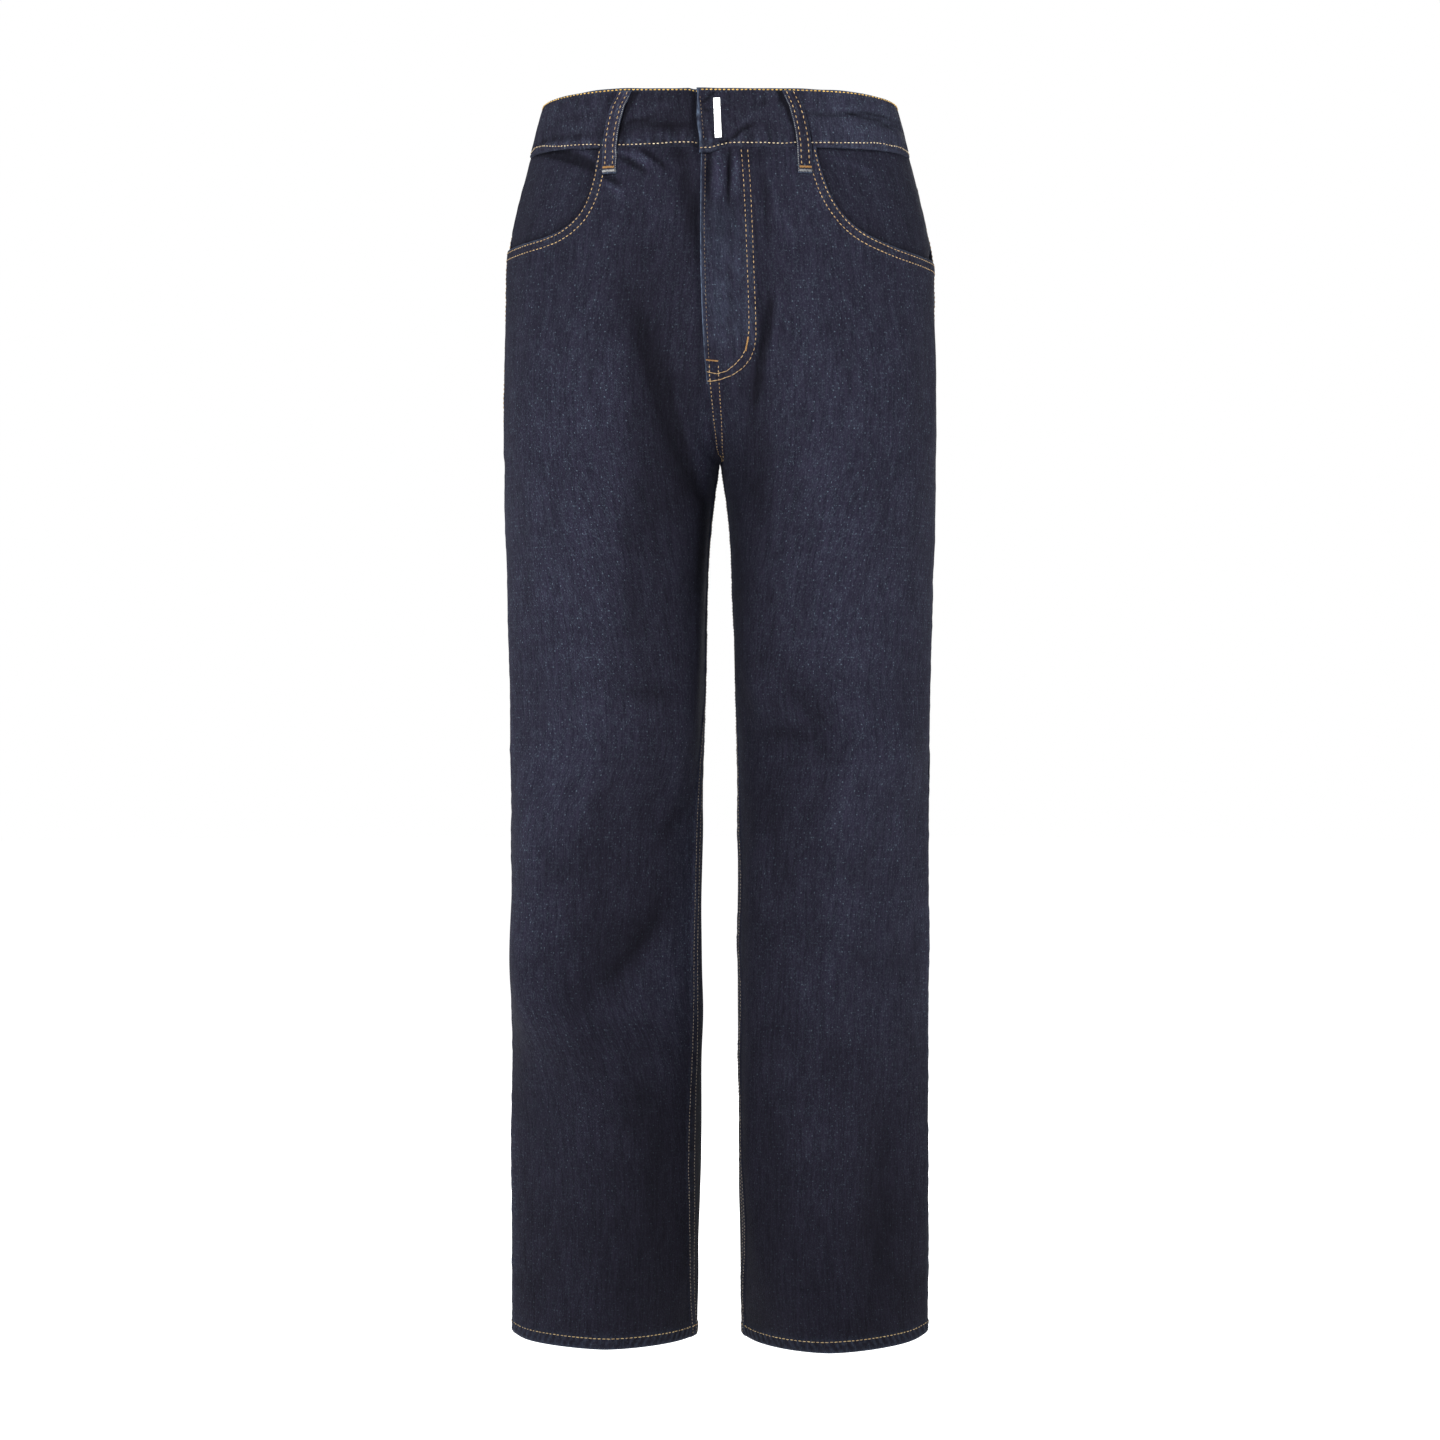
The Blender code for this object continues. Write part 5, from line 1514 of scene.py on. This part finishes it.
# Inseams: twin rows on the fronts, from the crotch to the hem
mesh = bmesh.new()
for side, word in SIDES:
    row_heights, *rows = inseam_rows(side)
    heights = np.linspace(row_heights[-1], row_heights[0], 420)
    for number, row in enumerate(rows):
        turn = front_turn(side, np.interp(heights, row_heights, row), heights)
        sew_row(mesh, f"front_{word}_cloth", side, turn, heights, 320 + number + side,
                PANEL_LIFT, FINE_THREAD, INSEAM_STITCH)
finish_thread("stitches_inseams", mesh, dull_thread)

# Hems: one row each, front and back
mesh = bmesh.new()
for side, word in SIDES:
    for face, first in (("front", 0.004), ("back", 1.004)):
        turn = np.linspace(first, first + 0.992, 130)
        height = lift_hem(side, turn, np.full(130, HEM + HEM_ROW))
        sew_row(mesh, f"{face}_{word}_cloth", side, turn, height, 330 + side + int(first),
                PANEL_LIFT, FINE_THREAD)
finish_thread("stitches_hems", mesh, hem_thread)

# Waistband: a row along each edge
mesh, top_mesh = bmesh.new(), bmesh.new()
for side, word in SIDES:
    around = float(girth(side, False, 0.0))
    turn = np.linspace((-17.0 if side > 0 else 17.6) / around, 1.997, 420)
    at = turn * around
    sew_row(top_mesh, f"waistband_{word}_cloth", side, turn, band_edge(side, turn, at) - BAND_TOP_ROW,
            340 + side, PANEL_LIFT, TOP_THREAD, BAND_STITCH, 0.1)
    height = band_seam(np.maximum(turn, 0)) + BAND_FOOT_ROW + 0.35 * ripple(at, 344 + side, 24)
    if side > 0:
        height += 1.9 * bell(turn, 0.64, 0.16) + 0.9 * until(0.6, 0.3, turn)
        height -= BAND_DROOP * until(-8.0, 15, at)
    else:
        height += 2.9 * bell(turn, 0.80, 0.12) + 1.8 * bell(at, 22, 22) - 0.9 * bell(at, 84, 18)
    sew_row(mesh, f"waistband_{word}_cloth", side, turn, height,
            342 + side, BAND_LIFT, BAND_THREAD, BAND_STITCH, 0.0)
finish_thread("stitches_waistband", mesh, pale_thread)
finish_thread("stitches_waistband_top", top_mesh, golden_thread)

# Yokes, seat seam and the top of the side seams
mesh = bmesh.new()
for side, word in SIDES:
    turn = np.linspace(1.004, 1.996, 150)
    for number, inset in enumerate(SEAM_ROWS):
        sew_row(mesh, f"yoke_{word}_cloth", side, turn, yoke_seam(turn) + inset, 350 + number + side)
    heights = np.linspace(-54, -262, 120)
    turn = 1 + SIDE_ROW / girth(side, True, heights)
    sew_row(mesh, f"back_{word}_cloth", side, turn, heights, 354 + side)
for number, inset in enumerate(SEAM_ROWS):
    for piece, ends in (("yoke_left_cloth", (-8, -72, 50)), ("back_left_cloth", (-80, -272, 110))):
        heights = np.linspace(*ends)
        sew_row(mesh, piece, 1, 2 - inset / girth(1, True, heights), heights, 358 + number)
finish_thread("stitches_back_seams", mesh, tan_thread)

# Back pockets: two rows round the patch and two along its mouth
mesh = bmesh.new()
for side, word in SIDES:
    for number, inset in enumerate(POCKET_ROWS):
        down = np.concatenate([np.linspace(0.015, 1, 90), np.full(100, 1.0), np.linspace(1, 0.015, 90)])
        across = np.concatenate([np.full(90, -1.0), np.linspace(-1, 1, 100), np.full(90, 1.0)])
        turn, height = pocket_place(side, across, down, inset)
        sew_row(mesh, f"back_pocket_{word}_cloth", side, turn, height, 370 + number + side, POCKET_LIFT)
    for number, drop in enumerate(POCKET_MOUTH_ROWS):
        across = np.linspace(-0.88, 0.88, 80)
        turn, height = pocket_place(side, across, np.full(80, drop / (POCKET_SIDE + POCKET_POINT / 2)))
        sew_row(mesh, f"back_pocket_{word}_cloth", side, turn, height, 374 + number + side, POCKET_LIFT)
finish_thread("stitches_back_pockets", mesh, tan_thread)

# Belt loops: two rows each
mesh = bmesh.new()
for number, (node, side, face, top_place, foot_place) in enumerate(LOOPS):
    down = np.linspace(0.0, 0.91, 40)
    for edge in (-1, 1):
        inset = edge * (loop_width(down) / 2 - LOOP_ROW)
        turn, height = loop_place(side, face, top_place, foot_place, inset, down)
        sew_row(mesh, f"{node}_cloth", side, turn, height, 380 + number + edge,
                LOOP_LIFT, THREAD, LOOP_STITCH)
finish_thread("stitches_belt_loops", mesh, tan_thread)

# The raw chain edge that shows along each loop's inner side
mesh = bmesh.new()
for number, (node, side, face, top_place, foot_place) in enumerate(LOOPS):
    down = np.linspace(0.06, 0.99, 60)
    turn, height = loop_place(side, face, top_place, foot_place, CHAIN_ROW - loop_width(down) / 2, down)
    sew_row(mesh, f"{node}_cloth", side, turn, height, 390 + number, LOOP_LIFT, CHAIN_THREAD, CHAIN_STITCH)
    tack_loop(mesh, node, side, face, top_place, foot_place, 4.9, 0.975, 2.6)
finish_thread("chain_edges", mesh, raw_thread)

# Bar tacks: loops, fly, back pockets and side seams
mesh = bmesh.new()
for node, side, face, top_place, foot_place in LOOPS:
    tack_loop(mesh, node, side, face, top_place, foot_place, 4.7, 0.932, 2.4)
for at, heights, width in (((23.4, 21.6), (-182.0, -192.6), 1.6), ((-11.6, -2.0), (-199.6, -200.2), 1.5)):
    sew_tack(mesh, "front_left_cloth", 1, front_turn(1, at, heights), heights, width)
turn = np.linspace(0.02, 0.085, 12)
height = lift_hem(-1, turn, np.full(12, HEM + HEM_ROW))
sew_row(mesh, "front_right_cloth", -1, turn, height, 336, 4.6, THREAD, STITCH, 0.3)
for side, word in SIDES:
    turn = 1 + np.array([0.6, 7.0]) / girth(side, True, SIDE_TACK)
    sew_tack(mesh, f"back_{word}_cloth", side, turn, (SIDE_TACK, SIDE_TACK), 2.3)
    for edge in (-1, 1):
        turn, height = pocket_place(side, np.array([edge, edge]), np.array([0.012, 0.085]), 3.0)
        sew_tack(mesh, f"back_pocket_{word}_cloth", side, turn, height, 2.2, POCKET_LIFT)
finish_thread("bar_tacks", mesh, bright_thread)

# ---------------------------------------------------------------------------------------------
# Plate. A narrow bar of bright satin metal, fixed upright on the waistband's lap. It is bare.
# ---------------------------------------------------------------------------------------------
plate_metal = bpy.data.materials.new("satin_metal")
plate_metal.use_nodes = True
tree = plate_metal.node_tree
shader = tree.nodes["Principled BSDF"]
place = wire(tree, "TexCoord").outputs["Object"]
drawn = wire(tree, "Mapping", (("Vector", place), ("Scale", (5200, 5200, 130))))
brushed = wire(tree, "TexNoise", (("Vector", drawn.outputs[0]), ("Scale", 1.0), ("Detail", 3.0)))
shine = blend_colours(tree, brushed.outputs[0], (0.80, 0.81, 0.82, 1), (0.95, 0.95, 0.96, 1))
tree.links.new(shine, shader.inputs["Base Color"])
tree.links.new(pick(tree, brushed.outputs[0], 0.3, 0.7, 0.28, 0.42), shader.inputs["Roughness"])
shader.inputs["Metallic"].default_value = 0.75
scratched = wire(tree, "Bump", (("Height", brushed.outputs[0]), ("Strength", 0.15), ("Distance", 0.0001)))
tree.links.new(scratched.outputs[0], shader.inputs["Normal"])
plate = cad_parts["waistband_plate"]
for slot in plate.material_slots:
    slot.material = plate_metal
